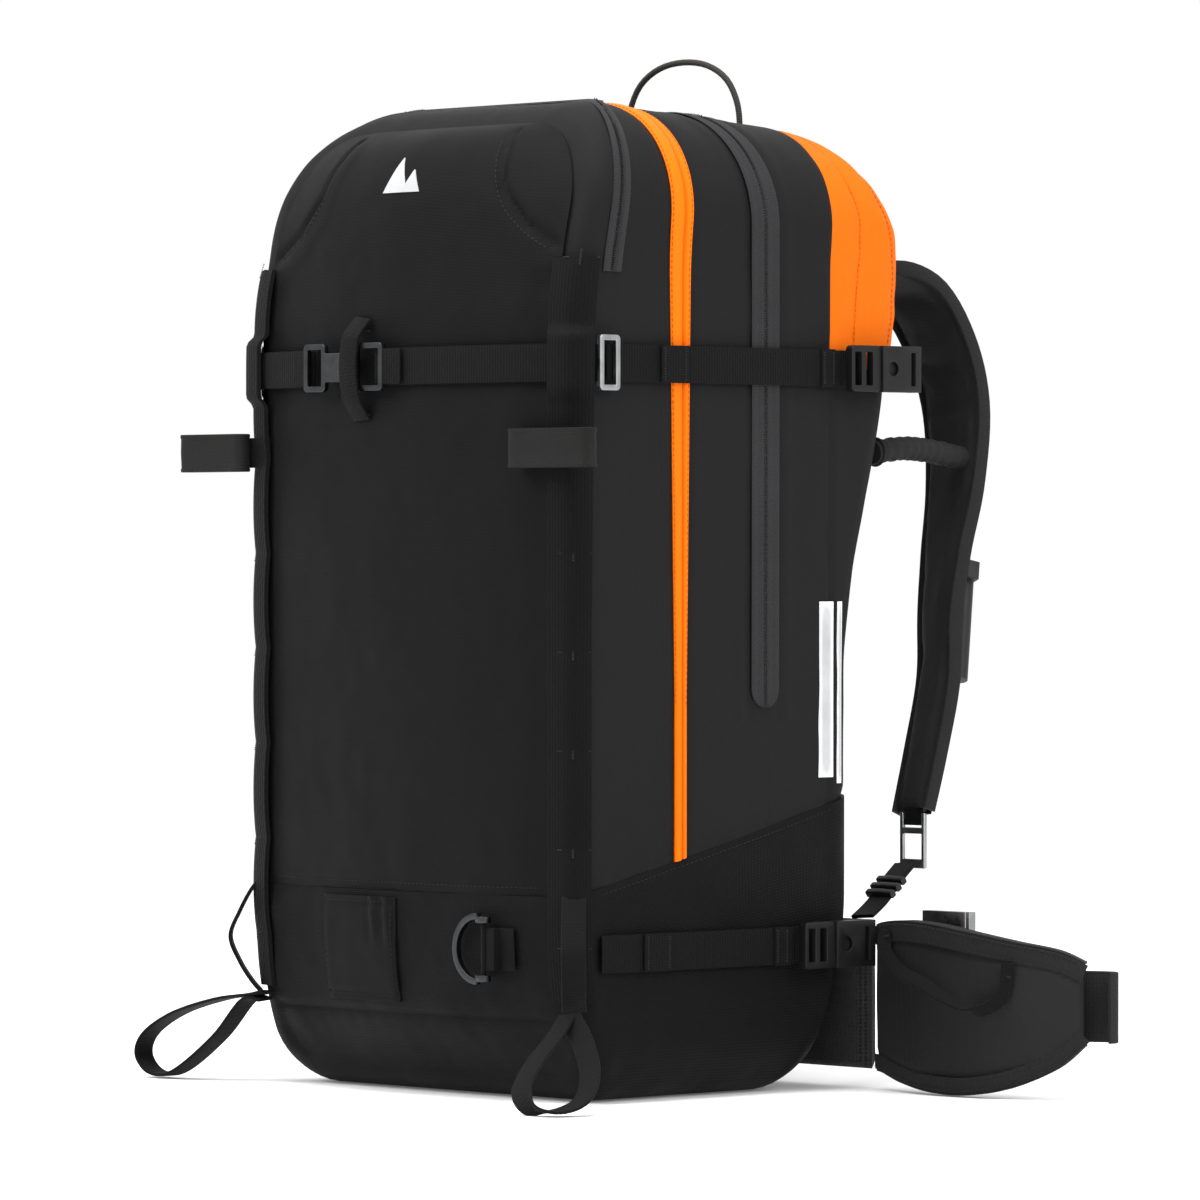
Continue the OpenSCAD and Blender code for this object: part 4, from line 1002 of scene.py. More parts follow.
def side_strip(z, w, y0, y1, d0, d1, n=60, cols=6, wave=0.0):
    """Webbing flat on the right side, with a soft selvedge."""
    def row(y, d, outer):
        r = []
        for j in range(cols + 1):
            k = j / cols
            zz = z + (k - 0.5) * w
            edge_drop = 0.35 * (bump(k, 0.08) + bump(1 - k, 0.08)) if outer else 0
            r.append(skin(t_at(zz), y, d + edge_drop - wave * math.sin((y - y0) / 14)))
        return r
    outer = [row(y, d0, True) for y in steps(y0, y1, n)]
    inner = [row(y, d1, False) for y in steps(y0, y1, n)]
    return slab(outer, inner)


def frame_at(z, y):
    """Along (+Y), up and outward directions on the right side."""
    tg = (skin(t_at(z), y + 2, 0) - skin(t_at(z), y - 2, 0)).normalized()
    up = (skin(t_at(z + 2), y, 0) - skin(t_at(z - 2), y, 0)).normalized()
    return tg, up, tg.cross(up).normalized()


def both_sewn(body, parts, mat=None):
    sew(body, parts + [mirror(p) for p in parts], mat)


for name, z, y0, join_y, fold_y in (("upper_side_straps", CROWN_Z, RING_Y + 4, 124, -56),
                                    ("lower_side_straps", 92, RING_Y, 83, -70)):
    parts = [side_strip(z, WEB_W, y0, join_y - 4, -STRAP_OUT, -WEB_GAP, 90, 8),
             side_strip(z, WEB_W + 1, join_y - 46, join_y - 34, -STRAP_OUT - 1.4, -STRAP_OUT - 0.2, 8, 8),
             side_strip(z, WEB_W, fold_y, fold_y + 22, -STRAP_OUT - 0.2 - WEB_T, -STRAP_OUT - 0.2, 12, 8)]
    v, f, u = both(join(parts))
    finish_piece(name + "_web", v, f, WEB, "bag", u, [name])
    for y, d in ((fold_y + 2.5, 0.2 + WEB_T), (fold_y + 19, 0.2 + WEB_T), (join_y - 44, 1.4), (join_y - 36, 1.4)):
        tg, up, nm = frame_at(z, y)
        at = skin(t_at(z), y, -STRAP_OUT - d)
        both_sewn("bag", bar_tack(at, tg, up, nm, 19, 1.7, 13))

# Front strap with its corner turns
def front_strip(x0, x1, d0, d1, n=40):
    edge_x = HALF_W - FRONT_R
    def row(x, d, outer):
        r = []
        for k in steps(0, 1, 8):
            selvedge = 0.35 * (bump(k, 0.08) + bump(1 - k, 0.08)) if outer else 0
            r.append(front_pt(x / edge_x, t_at(CROWN_Z + (k - 0.5) * WEB_W), d + selvedge))
        return r
    return slab([row(x, d0, True) for x in steps(x0, x1, n)], [row(x, d1, False) for x in steps(x0, x1, n)])


def corner_strip(z, d0, d1):
    vs = steps(0, v_at(t_at(z), RING_Y - 2), 16)
    row = lambda vv, d: [skin_v(t_at(z + (k - 0.5) * WEB_W), vv, d) for k in steps(0, 1, 8)]
    return slab([row(vv, d0) for vv in vs], [row(vv, d1) for vv in vs])


HOOK_X, RING_X = -67, -17
c = corner_strip(CROWN_Z, -2.8, -1.0)
v, f, u = join([front_strip(-134, HOOK_X - 4, -2.8, -1.0, 30),
                front_strip(RING_X + 3, 134, -2.8, -1.0, 60), c, mirror(c)])
finish_piece("front_strap_web", v, f, WEB, "bag", u, ["front_strap"])
EDGE_X = HALF_W - FRONT_R
for x in (HOOK_X - 20, RING_X + 8, RING_X + 24):
    p = front_pt(x / EDGE_X, t_at(CROWN_Z), -2.8)
    nm = Vector((0.0, -1, 0))
    sew("bag", bar_tack(p, Vector((1, 0, 0)), Vector((0, 0, 1)), nm, 19, 1.8, 13))
# Fold of webbing over the ring and over the hook's bars
for x, s, body in ((RING_X + 13, 1, "bag"), (HOOK_X - 8, -1, "bag")):
    p = front_pt(x / EDGE_X, t_at(CROWN_Z), -3.9)
    path = [p + Vector((s * a, b, 0)) for a, b in ((16, -0.6), (8, -1.1), (0, -1.7), (-2.5, -0.4), (-2.6, 1.0))]
    v, f, u = sweep(catmull(path, 6), Vector((0, 0, 1)), WEB_W - 1, 1.3)
    finish_piece("strap_fold_%s" % ("ring" if s > 0 else "hook"), v, f, WEB, body, u, slot="trim_webbing")

# Keeper that ties the hook to the ring
x = RING_X - 15
lo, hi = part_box("keeper_loop")
ky = lo.y / MM + 0.9
top_z, low_z = hi.z / MM - 0.5, lo.z / MM + 0.5
front_at = lambda xx, zz: face_y(zz, clamp(xx / EDGE_X, -1, 1), 0)
keeper = [(3, 1.6, 21), (1.5, 0.1, 14), (0, 0, 0), (1.5, 0.1, -14), (3, 1.6, -22)]
path = [Vector((x + 5, front_at(x + 5, top_z) - 1.3, top_z))]
path += [Vector((x + a, ky + b, CROWN_Z + c)) for a, b, c in keeper]
path.append(Vector((x + 4, front_at(x + 4, low_z) - 1.3, low_z)))
v, f, u = sweep(catmull(path, 7), Vector((1, 0, 0)), 16, 1.8)
finish_piece("keeper_web", v, f, WEB, "bag", u, ["keeper_loop"])
for zz in (top_z - 3, top_z - 8, low_z + 3):
    at = Vector((x + 4.5, front_at(x, zz) - 2.2, zz))
    sew("bag", bar_tack(at, Vector((0, 0, 1)), Vector((1, 0, 0)), Vector((0, -1, 0)), 14, 1.6, 11))

# Daisy chains down both front edges
PITCH, DAISY_TOP, DAISY_LOW = 60, 516, 62
daisy_count = int((DAISY_TOP - DAISY_LOW) / PITCH)


def daisy_lift(z):
    f = (DAISY_TOP - z) / PITCH
    k = f - math.floor(f)
    if z > DAISY_LOW + 34:
        base = 0.6 + 1.25 * math.sin(math.pi * k) ** 0.7 if 0 < k < 1 else 0.6
    else:
        base = 0.6
    over = 5.2 * ease((26 - abs(z - CROWN_Z)) / 10)
    return max(base, over)


def daisy_row(z, d):
    t, s = t_at(z), d - daisy_lift(z)
    row = [front_pt(k, t, s) for k in (0.955, 0.97, 0.985)]
    row += [skin_v(t, e / 243, s) for e in (0, 1, 2.5, 4, 6, 9, 11.5, 14)]
    return row


zs = steps(DAISY_LOW, DAISY_TOP, 150)
g_out = [[daisy_row(z, -2.0)[i] for z in zs] for i in range(11)]
g_in = [[daisy_row(z, -0.2)[i] for z in zs] for i in range(11)]
v, f, u = both(slab(g_out, g_in))
finish_piece("daisy_webbing", v, f, WEB, "bag", u, ["daisy_chains"])
for i in range(daisy_count + 1):
    z = DAISY_TOP - i * PITCH
    if abs(z - CROWN_Z) < 10:
        continue
    a, b = daisy_row(z, -2.0), daisy_row(z - 2, -2.0)
    nm = (a[6] - daisy_row(z, 0)[6]).normalized()
    down = (b[6] - a[6]).normalized()
    both_sewn("bag", bar_tack(a[6], (a[7] - a[5]).normalized(), down, nm, 9, 1.8, 9))
    for q in (3, 9):
        both_sewn("bag", [stitch(a[q], a[q + 1], nm, 0.9, 0.5)])

# Pick patch with gathered side
def patch_pt(k, z, d):
    return front_pt(k, t_at(z), d)


PK0, PK1, PZ0, PZ1 = -0.50, 0.02, 58, SEAM_FRONT - 4
def patch_out(a, b):
    k, z = mix(PK0, PK1, a), mix(PZ0, PZ1, b)
    lift = 3.0 - 1.6 * bump(a, 0.05) - 1.2 * bump(1 - a, 0.04)
    lift += 1.0 * math.sin(a * 34 + b * 2.4) * ease((b - 0.45) / 0.3) * ease((a - 0.55) / 0.2)
    lift -= 1.0 * bump(b - 0.93, 0.03) + 0.9 * bump(b - 0.06, 0.03)
    lift += 0.5 * cloth((k * 134, 0, z), 16)
    return patch_pt(k, z, -clamp(lift, 0.9, 4.6))


aa, bb = steps(0, 1, 50), steps(0, 1, 44)
v, f, u = slab([[patch_out(a, b) for b in bb] for a in aa],
               [[patch_pt(mix(PK0, PK1, a), mix(PZ0, PZ1, b), -0.3) for b in bb] for a in aa])
f = [tuple(reversed(q)) for q in f]
finish_piece("pick_patch_cloth", v, f, LINING, "bag", u, ["pick_patch"])
for b_at in (0.05, 0.95):
    row = lambda uu, b_at=b_at: (patch_out(mix(0.03, 0.97, uu), b_at), Vector((0, -1, 0)))
    sew("bag", stitch_row(row, 0, 1, 40))
for a_at in (0.04, 0.96):
    row = lambda uu, a_at=a_at: (patch_out(a_at, mix(0.05, 0.95, uu)), Vector((0, -1, 0)))
    sew("bag", stitch_row(row, 0, 1, 40))

# ---------------------------------------------------------------- hardware and inner parts
# Nodes whose CAD shape is kept, with their edges rounded: bevel in mm, segments, material
HARDWARE = (
    (0.5, 2, WEB_FINE, ("ring_tab",)),
    (0.9, 3, DARK, ("d_ring",)),
    (0.7, 3, DARK, ("front_hook",)),
    (1.1, 3, PLASTIC, ("buckle_sockets", "upper_buckle_left", "upper_buckle_right", "lower_buckle_left",
                       "lower_buckle_right")),
    (1.6, 3, STEEL, ("belt_buckle_plug", "belt_buckle_socket")),
    (0.6, 2, DARK, ("pocket_zip_slider", "main_zip_slider", "side_zip_slider")),
    (0.9, 3, STEEL, ("strap_hook_left", "strap_hook_right")),
    (0.6, 1, STEEL, ("frame_stays",)),
    (0.3, 1, FRAME_SHEET, ("frame_sheet",)),
    (0.4, 1, LINING, ("pocket_divider",)),
    (1.2, 2, LAMINATE, ("inflation_unit",)),
    (1.5, 3, PAINT, ("gas_cartridge",)),
    (0.5, 2, STEEL, ("trigger_pin",)),
    (0.1, 1, LAMINATE, ("cable_housing",)),
    (1.0, 2, AIRBAG, ("folded_airbag",)),
    (0.4, 2, RED, ("red_tab",)),
    (1.8, 4, GRIP, ("trigger_handle",)),
)
for bevel, segments, mat, nodes in HARDWARE:
    for node in nodes:
        refined(node, bevel, segments, mat)

# Strap rings: the front one is dark
rings = refined("strap_rings", 0.8, 3, STEEL)
rings.data.materials.append(DARK)
for face in rings.data.polygons:
    if face.center.y < -(FRONT + 6) * MM:
        face.material_index = 1

# ---------------------------------------------------------------- loops
SKI_ROOT = Vector((146, -126, 56))
SKI_RIGHT = [(0, 1, 0), (-8, 14, -12), (-20, 34, -26), (-28, 54, -41), (-22, 66, -51), (-6, 70, -53),
             (8, 64, -47), (13, 46, -33), (9, 24, -16), (2, 6, -3)]
SKI_LEFT = [(0, 0, 0), (28, -4, -4), (62, -10, -14), (86, -14, -28), (92, -15, -42), (80, -14, -53),
            (60, -11, -51), (28, -5, -28), (4, -2, -4)]
SKI_OUT, SKI_ALONG = Vector((0.73, -0.68, 0)).normalized(), Vector((0.68, 0.73, 0)).normalized()
right_path = [SKI_ROOT + SKI_ALONG * a + SKI_OUT * b + Vector((0, 0, c)) for a, b, c in SKI_RIGHT]
right = sweep(catmull(right_path, 9), (SKI_OUT * -0.75 - SKI_ALONG * 0.65).normalized(), 15, 2)
left_path = [SKI_ROOT + Vector(p) for p in [(-9, 3, 2)] + SKI_LEFT + [(-8, 2, -3)]]
left = mirror(sweep(catmull(left_path, 9), Vector((0, 1, 0)), 15, 2))
v, f, u = join([right, left])
finish_piece("ski_loop_webs", v, f, WEB_FINE, "bag", u, ["ski_loops"])
diagonal = Vector((1, -1, 0)).normalized()
corner = Vector((HALF_W - FRONT_R * 0.293, -FRONT + FRONT_R * 0.293, 0))
path = [corner + diagonal * a + Vector((0, 0, SEAM_FRONT + b))
        for a, b in ((0.5, 3), (6.5, -4), (14, -18), (20, -34), (14, -50), (6.5, -62), (0.5, -69))]
v, f, u = both(sweep(catmull(path, 8), Vector((1, 1, 0)).normalized(), 15, 2))
finish_piece("small_loop_webs", v, f, WEB_FINE, "bag", u, ["small_loops"])

# ---------------------------------------------------------------- tool holders
def holder(name, x0, x1):
    """Flattened ring of synthetic leather with turned edges and a stitched rim."""
    cx, half = (x0 + x1) / 2, (x1 - x0) / 2
    cy, r = -FRONT - 11.5, 6.0
    loop = []
    n_end = 10
    for i in range(n_end + 1):
        a = -math.pi / 2 + math.pi * i / n_end
        loop.append((cx + half - r + r * math.cos(a), cy + r * math.sin(a)))
    loop += [(x, cy + r) for x in steps(cx + half - r, cx - half + r, 14)[1:-1]]
    for i in range(n_end + 1):
        a = math.pi / 2 + math.pi * i / n_end
        loop.append((cx - half + r + r * math.cos(a), cy + r * math.sin(a)))
    loop += [(x, cy - r) for x in steps(cx - half + r, cx + half - r, 14)[1:-1]]
    n = len(loop)
    def ring(z, inset):
        out = []
        for i, (x, y) in enumerate(loop):
            px, py = loop[i - 1]
            qx, qy = loop[(i + 1) % n]
            tg = Vector((qx - px, qy - py, 0)).normalized()
            nm = Vector((tg.y, -tg.x, 0))
            sag = 0.35 * cloth((x, y, z), 13)
            out.append(Vector((x, y, z)) - nm * (inset - min(sag, 0.2)))
        return out
    prof = [(388.2, 0.9), (388.0, 0.5), (388.3, 0.1), (389.5, -0.1), (391.0, 0.45), (400, 0.3), (409.0, 0.45), (410.5, -0.1),
            (411.7, 0.1), (412, 0.5), (411.8, 0.9), (411.5, 1.9), (400, 1.95), (388.5, 1.9)]
    rings = [ring(z, d) for z, d in prof]
    verts = [p for r_ in rings for p in r_]
    m = len(rings)
    faces = []
    for i in range(m):
        a, b = i * n, (i + 1) % m * n
        faces += [(a + j, a + (j + 1) % n, b + (j + 1) % n, b + j) for j in range(n)]
    uvs = [(j * 0.002, i * 0.002) for i in range(m) for j in range(n)]
    finish_piece(name + "_loop", verts, faces, SYNTHETIC, name, uvs, [name])
    for zz in (390.9, 409.1):
        row = lambda uu: (Vector((mix(x0 + 7, x1 - 7, uu), cy - r + 0.45, zz)), Vector((0, -1, 0)))
        sew(name, stitch_row(row, 0, 1, 20, 3.0))


holder("tool_holder_right", 106, 180)
holder("tool_holder_left", -203, -141)
# Tabs that tie the holders to the daisy chains
for x0, x1 in ((104, 122), (-150, -130)):
    path = [Vector((mix(x0, x1, k), -130.2 + 3.4 * (k if x0 < 0 else 1 - k), 400)) for k in steps(0, 1, 8)]
    v, f, u = sweep(path, Vector((0, 0, 1)), 19, 1.4)
    finish_piece("holder_tab_%s" % ("left" if x0 < 0 else "right"), v, f, WEB_FINE, "bag", u, slot="trim_webbing")

# ---------------------------------------------------------------- padded harness
def puff(verts, faces, voxel, pressure, cap, shrink):
    """Foam pad: remeshed, shrunk a little, blown up by a cloth simulation and capped."""
    mesh = bpy.data.meshes.new("pad_start")
    mesh.from_pydata([tuple(c * MM for c in v) for v in verts], [], faces)
    mesh.update()
    obj = bpy.data.objects.new("pad_start", mesh)
    scene.collection.objects.link(obj)
    bpy.context.view_layer.objects.active = obj
    rem = obj.modifiers.new("remesh", "REMESH")
    rem.mode = "VOXEL"
    rem.voxel_size = voxel * MM
    with bpy.context.temp_override(object=obj, active_object=obj, selected_objects=[obj]):
        bpy.ops.object.modifier_apply(modifier="remesh")
    me = obj.data
    n = len(me.vertices)
    co = np.zeros(n * 3)
    me.vertices.foreach_get("co", co)
    co = co.reshape(-1, 3)
    nm = np.zeros(n * 3)
    me.vertices.foreach_get("normal", nm)
    start = co - nm.reshape(-1, 3) * shrink * MM
    me.vertices.foreach_set("co", start.ravel())
    me.update()
    mod = obj.modifiers.new("cloth", "CLOTH")
    s = mod.settings
    s.quality = 5
    s.mass = 0.15
    s.use_pressure = True
    s.uniform_pressure_force = pressure
    s.effector_weights.gravity = 0
    s.tension_stiffness = 25
    s.compression_stiffness = 25
    s.bending_stiffness = 2.5
    mod.collision_settings.use_collision = False
    for frame_no in range(1, 21):
        scene.frame_set(frame_no)
    deps = bpy.context.evaluated_depsgraph_get()
    ev = obj.evaluated_get(deps)
    end = np.zeros(n * 3)
    ev.data.vertices.foreach_get("co", end)
    end = end.reshape(-1, 3)
    obj.modifiers.remove(mod)
    scene.frame_set(1)
    move = end - start
    far = np.linalg.norm(move, axis=1, keepdims=True)
    move *= np.minimum(1, cap * MM / np.maximum(far, 1e-9))
    me.vertices.foreach_set("co", (start + move).ravel())
    me.update()
    sub = obj.modifiers.new("sub", "SUBSURF")
    sub.levels = sub.render_levels = 1
    with bpy.context.temp_override(object=obj, active_object=obj, selected_objects=[obj]):
        bpy.ops.object.modifier_apply(modifier="sub")
    me = obj.data
    out = [Vector(v.co) / MM for v in me.vertices]
    polys = [tuple(p.vertices) for p in me.polygons]
    bpy.data.objects.remove(obj)
    return out, polys


def carve(verts, dent):
    """Presses sewn lines into a pad: dent(p) gives a vector to add."""
    return [p + dent(p) for p in verts]


def pad_piece(name, node, verts, faces, mat, body, fill):
    o = finish_piece(name, verts, faces, mat, body, None, [node], angle=60)
    return o


def mirrored_pad(name, node, verts, faces, mat, body, fill):
    flipped = mirror((verts, faces, None))
    return pad_piece(name, node, *flipped[:2], mat, body, fill)


# Hip wings
BELT_Y = BACK + 3 + 7
ROOT_X = HALF_W + 15
WING = [(-6.8, 0), (-4.5, 0), (0, 0), (8, -2), (30, -8), (60, -13), (90, -12), (118, -4), (142, 9), (156, 18)]
WING_LOW = [18, 14, 12, 11, 6, 2, 2, 8, 20, 34]
WING_HIGH = [98, 101, 102, 104, 106, 105, 101, 96, 91, 84]
wing_pts = [Vector((ROOT_X + a, BELT_Y + b, 0)) for a, b in WING]
wing_mid = catmull(wing_pts[2:], 7)
wing_lo = catmull([float(z) for z in WING_LOW[2:]], 7)
wing_hi = catmull([float(z) for z in WING_HIGH[2:]], 7)
wn = len(wing_mid) - 1


def wing_frame(i):
    tg = (wing_mid[min(i + 1, wn)] - wing_mid[max(i - 1, 0)]).normalized()
    return tg, Vector((tg.y, -tg.x, 0))      # along, and outwards from the wearer (-Y side)


RING_N = 16
wing_rings = []
for i in range(wn + 1):
    tg, nm = wing_frame(i)
    lo, hi = wing_lo[i] + 1.2, wing_hi[i] - 1.2
    h = 5.2 * (0.75 if i == wn else 1)
    ring = []
    for a in range(RING_N):
        w = 2 * math.pi * a / RING_N
        cy, cz = math.cos(w), math.sin(w)
        sx = math.copysign(abs(cy) ** 0.55, cy) * h
        sz = math.copysign(abs(cz) ** 0.28, cz)
        p = wing_mid[i] + nm * sx
        ring.append(Vector((p.x, p.y, mix(lo, hi, 0.5 + 0.5 * sz))))
    wing_rings.append(ring)
wv = [p for r in wing_rings for p in r]
wf = []
for i in range(wn):
    for a in range(RING_N):
        b = (a + 1) % RING_N
        wf.append((i * RING_N + a, i * RING_N + b, (i + 1) * RING_N + b, (i + 1) * RING_N + a))
wf += [tuple(range(RING_N - 1, -1, -1)), tuple(wn * RING_N + a for a in range(RING_N))]
pv, pf = puff(wv, wf, 4.0, 3.5, 3.2, 0.4)


def wing_dent(p):
    """Seam under the top binding and above the bottom one."""
    best, at = 1e9, 0
    for i in range(0, wn + 1, 2):
        g = (p.x - wing_mid[i].x) ** 2 + (p.y - wing_mid[i].y) ** 2
        if g < best:
            best, at = g, i
    tg, nm = wing_frame(at)
    side = (p - wing_mid[at]).dot(nm)
    press = 1.2 * bump(p.z - (wing_hi[at] - 13), 1.8) + 0.9 * bump(p.z - (wing_lo[at] + 11), 1.8)
    press += 0.4 * cloth(p, 26, (1, 1, 1))
    return nm * (-press if side > 0 else press * 0.6) * clamp(abs(side) / 4)


pv = carve(pv, wing_dent)
pad_piece("hip_wing_right_pad", "hip_wing_right", pv, pf, PAD, "hip_wing_right", 0.7)
mirrored_pad("hip_wing_left_pad", "hip_wing_left", pv, pf, PAD, "hip_wing_left", 0.7)


def wing_strip(k_fn, out, width, thick, i0=0, tilt=0.0):
    path, across = [], []
    for i in range(i0, wn + 1):
        tg, nm = wing_frame(i)
        z = wing_lo[i] + k_fn(i)
        path.append(Vector((wing_mid[i].x, wing_mid[i].y, z)) + nm * out)
        across.append((Vector((0, 0, 1)) + nm * tilt).normalized())
    return sweep(path, across, width, thick, round_n=2)


def height(i):
    return wing_hi[i] - wing_lo[i]


edge_parts = [wing_strip(lambda i: height(i) - 6.2, 6.9, 11.5, 1.0, 1, tilt=-0.05),
              wing_strip(lambda i: 5.4, 6.7, 9.5, 0.9, 1, tilt=0.05),
              wing_strip(lambda i: height(i) + 0.2, 0.4, 1.6, 11.5, 1),
              wing_strip(lambda i: -0.1, 0.4, 1.6, 11.0, 1)]
v, f, u = join(edge_parts)
finish_piece("hip_wing_right_binding", v, f, BINDING, "hip_wing_right", u, slot="trim_webbing")
v, f, u = mirror((v, f, u))
finish_piece("hip_wing_left_binding", v, f, BINDING, "hip_wing_left", u, slot="trim_webbing")
for kz, out in ((-1.4, 7.5), (-10.6, 7.5), (2.4, 7.3), (8.4, 7.3)):
    def run(uu, kz=kz, out=out):
        i = int(clamp(round(uu * wn), 0, wn))
        tg, nm = wing_frame(i)
        z = wing_hi[i] + kz if kz < 0 else wing_lo[i] + kz
        return Vector((wing_mid[i].x, wing_mid[i].y, z)) + nm * out, nm
    parts = stitch_row(run, 0.03, 0.98, 54)
    sew("hip_wing_right", parts)
    sew("hip_wing_left", [mirror(p) for p in parts])

GEAR = [(18, -16.2, 100), (22, -22, 88), (40, -27, 76), (62, -31, 70), (86, -31, 60), (104, -25, 54),
        (118, -16, 64), (122, -15.7, 84)]
gear_pts = catmull([Vector((ROOT_X + a, BELT_Y + b, c)) for a, b, c in GEAR], 9)
gn = len(gear_pts)
gear_across = []
for i in range(gn):
    twist = Vector((0.25 + 0.5 * math.sin(i / gn * 3.1), 1, 0.3 + 0.9 * math.sin(i / gn * 6.0)))
    gear_across.append(twist.normalized())
gear = sweep(gear_pts, gear_across, 9, 1.9)
belt_tail = [(172, 22), (172, 28), (168, 32), (160, 31), (150, 26), (128, 15), (104, 5.5), (78, 0.5)]
tail = catmull([Vector((ROOT_X + a, BELT_Y + b, 57)) for a, b in belt_tail], 8)
belt = sweep(tail, Vector((0, 0, 1)), 44, 2.0, round_n=3)
for side in ("right", "left"):
    g, b = (gear, belt) if side == "right" else (mirror(gear), mirror(belt))
    finish_piece("gear_loop_%s_web" % side, *g[:2], WEB_FINE, "hip_wing_" + side, g[2], ["gear_loop_" + side])
    finish_piece("belt_webbing_%s_web" % side, *b[:2], BELT_WEB, "hip_wing_" + side, b[2], ["belt_webbing_" + side])
    for i in (3, gn - 5):
        tg = (gear_pts[i + 1] - gear_pts[i]).normalized()
        nm = Vector((0, -1, 0))
        part = bar_tack(gear_pts[i] + nm * 1.0, tg, nm.cross(tg).normalized(), nm, 7, 1.6, 8)
        sew("hip_wing_" + side, part if side == "right" else [mirror(q) for q in part])

# Shoulder straps
STRAP_ROOT = Vector((70, back_y(505, 0) + 6 + 1.5, 505))
STRAP = [(0, 0, 0), (4, 30, 14), (12, 62, 2), (20, 84, -33), (27, 92, -75), (34, 84, -125),
         (43, 66, -170), (53, 50, -210), (61, 40, -250), (66, 24, -293), (70, 8, -333)]
STRAP_W = [60, 64, 65, 63, 60, 56, 51, 47, 43, 38, 33]
STRAP_A = [(1, a, 0) for a in (0, 0, 0, -0.05, -0.12, -0.22, -0.32, -0.36, -0.3, -0.2, -0.1)]
sp = catmull([STRAP_ROOT + Vector(p) for p in STRAP], 6)
sw = catmull([float(w) for w in STRAP_W], 6)
sa = [a.normalized() for a in catmull([Vector(a) for a in STRAP_A], 6)]
sn = len(sp) - 1


def strap_frame(i):
    tg = (sp[min(i + 1, sn)] - sp[max(i - 1, 0)]).normalized()
    nm = tg.cross(sa[i]).normalized()
    return tg, nm.cross(tg).normalized(), nm


strap_out = 1 if strap_frame(40)[2].y > 0 else -1
v, f, u = sweep(sp, sa, [w - 2.4 for w in sw], 9.0, round_n=3)
pv, pf = puff(v, f, 4.0, 3.5, 3.0, 0.3)


def strap_dent(p):
    best, at = 1e9, 0
    for i in range(0, sn + 1, 2):
        g = (p - sp[i]).length_squared
        if g < best:
            best, at = g, i
    tg, wd, nm = strap_frame(at)
    side, across = (p - sp[at]).dot(nm), abs((p - sp[at]).dot(wd))
    press = 1.1 * bump(across - (sw[at] / 2 - 6.5), 1.7) + 0.5 * cloth(p, 24)
    return nm * (-press if side > 0 else press) * clamp(abs(side) / 3)


pv = carve(pv, strap_dent)
pad_piece("shoulder_strap_right_pad", "shoulder_strap_right", pv, pf, PAD, "shoulder_strap_right", 0.6)
mirrored_pad("shoulder_strap_left_pad", "shoulder_strap_left", pv, pf, PAD, "shoulder_strap_left", 0.6)


def strap_strip(across_fn, out, width, thick, i0, i1):
    path, across = [], []
    for i in range(i0, i1 + 1):
        tg, wd, nm = strap_frame(i)
        path.append(sp[i] + wd * across_fn(i) + nm * out * strap_out)
        across.append(wd)
    return sweep(path, across, width, thick, round_n=2)


rim = []
for s in (-1, 1):
    path = [sp[i] + strap_frame(i)[1] * s * (sw[i] / 2 - 1.6) for i in range(sn + 1)]
    nms = [strap_frame(i)[2] for i in range(sn + 1)]
    rim.append(sweep(path, nms, 9.5, 2.4, round_n=2))
centre_web = strap_strip(lambda i: 0, 6.3, 20, 1.4, 8, sn)
reflect = [strap_strip(lambda i: 5.5, 7.3, 2.4, 0.3, 33, 47), strap_strip(lambda i: -5.5, 7.3, 2.4, 0.3, 33, 44)]
for side in ("right", "left"):
    flip = (lambda part: part) if side == "right" else mirror
    body = "shoulder_strap_" + side
    v, f, u = join([flip(r) for r in rim])
    finish_piece(body + "_binding", v, f, BINDING, body, u, slot="trim_webbing")
    v, f, u = flip(centre_web)
    finish_piece(body + "_centre_web", v, f, WEB, body, u, slot="trim_webbing")
    v, f, u = join([flip(r) for r in reflect])
    finish_piece(body + "_reflective_bars", v, f, MARK, body, u, slot="shell_fabric")
    for off, out in ((8.4, 7.2), (-8.4, 7.2)):
        def run(uu, off=off, out=out):
            i = int(clamp(round(mix(9, sn - 1, uu)), 0, sn))
            tg, wd, nm = strap_frame(i)
            return sp[i] + wd * off + nm * out * strap_out, nm * strap_out
        parts = stitch_row(run, 0, 1, 51)
        sew(body, parts if side == "right" else [mirror(p) for p in parts])
    lo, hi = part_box("strap_hook_" + side)
    cx = (lo.x + hi.x) / 2 / MM
    loop_path = [Vector((cx, hi.y / MM - 1.0, z)) for z in steps(hi.z / MM - 8, hi.z / MM + 8, 6)]
    v, f, u = sweep(loop_path, Vector((1, 0, 0)), 16, 1.4)
    finish_piece(body + "_hook_web", v, f, WEB, body, u, slot="trim_webbing")

# Anchors from the belt up to the hooks, with a slide adjuster's knot
hook_top = STRAP_ROOT + Vector(STRAP[10])
a_end = hook_top + Vector((1, -8, -33))
a_start = Vector((HALF_W - 2, BACK + 8, 106 + 1.4))
ap = [a_start, a_start.lerp(a_end, 0.35) + Vector((0, 0, -2)), a_start.lerp(a_end, 0.7), a_end]
v, f, u = both(sweep(catmull(ap, 8), Vector((1, 0, 0)), 18, 2.4))
finish_piece("strap_anchor_webs", v, f, WEB_FINE, "bag", u, ["strap_anchors"])
mid = a_start.lerp(a_end, 0.55)
tgd = (a_end - a_start).normalized()
nmd = Vector((1, 0, 0)).cross(tgd).normalized()
knot = []
for k, wdt in ((-7, 22), (0, 23), (7, 22)):
    p = mid + tgd * k
    half = Vector((wdt / 2, 0, 0))
    knot.append(sweep([p - half + nmd * 0.4, p + nmd * 0.9, p + half + nmd * 0.4], tgd, 4.4, 4.6))
v, f, u = both(join(knot))
finish_piece("anchor_adjusters", v, f, PLASTIC, "bag", u, slot="buckle_plastic")

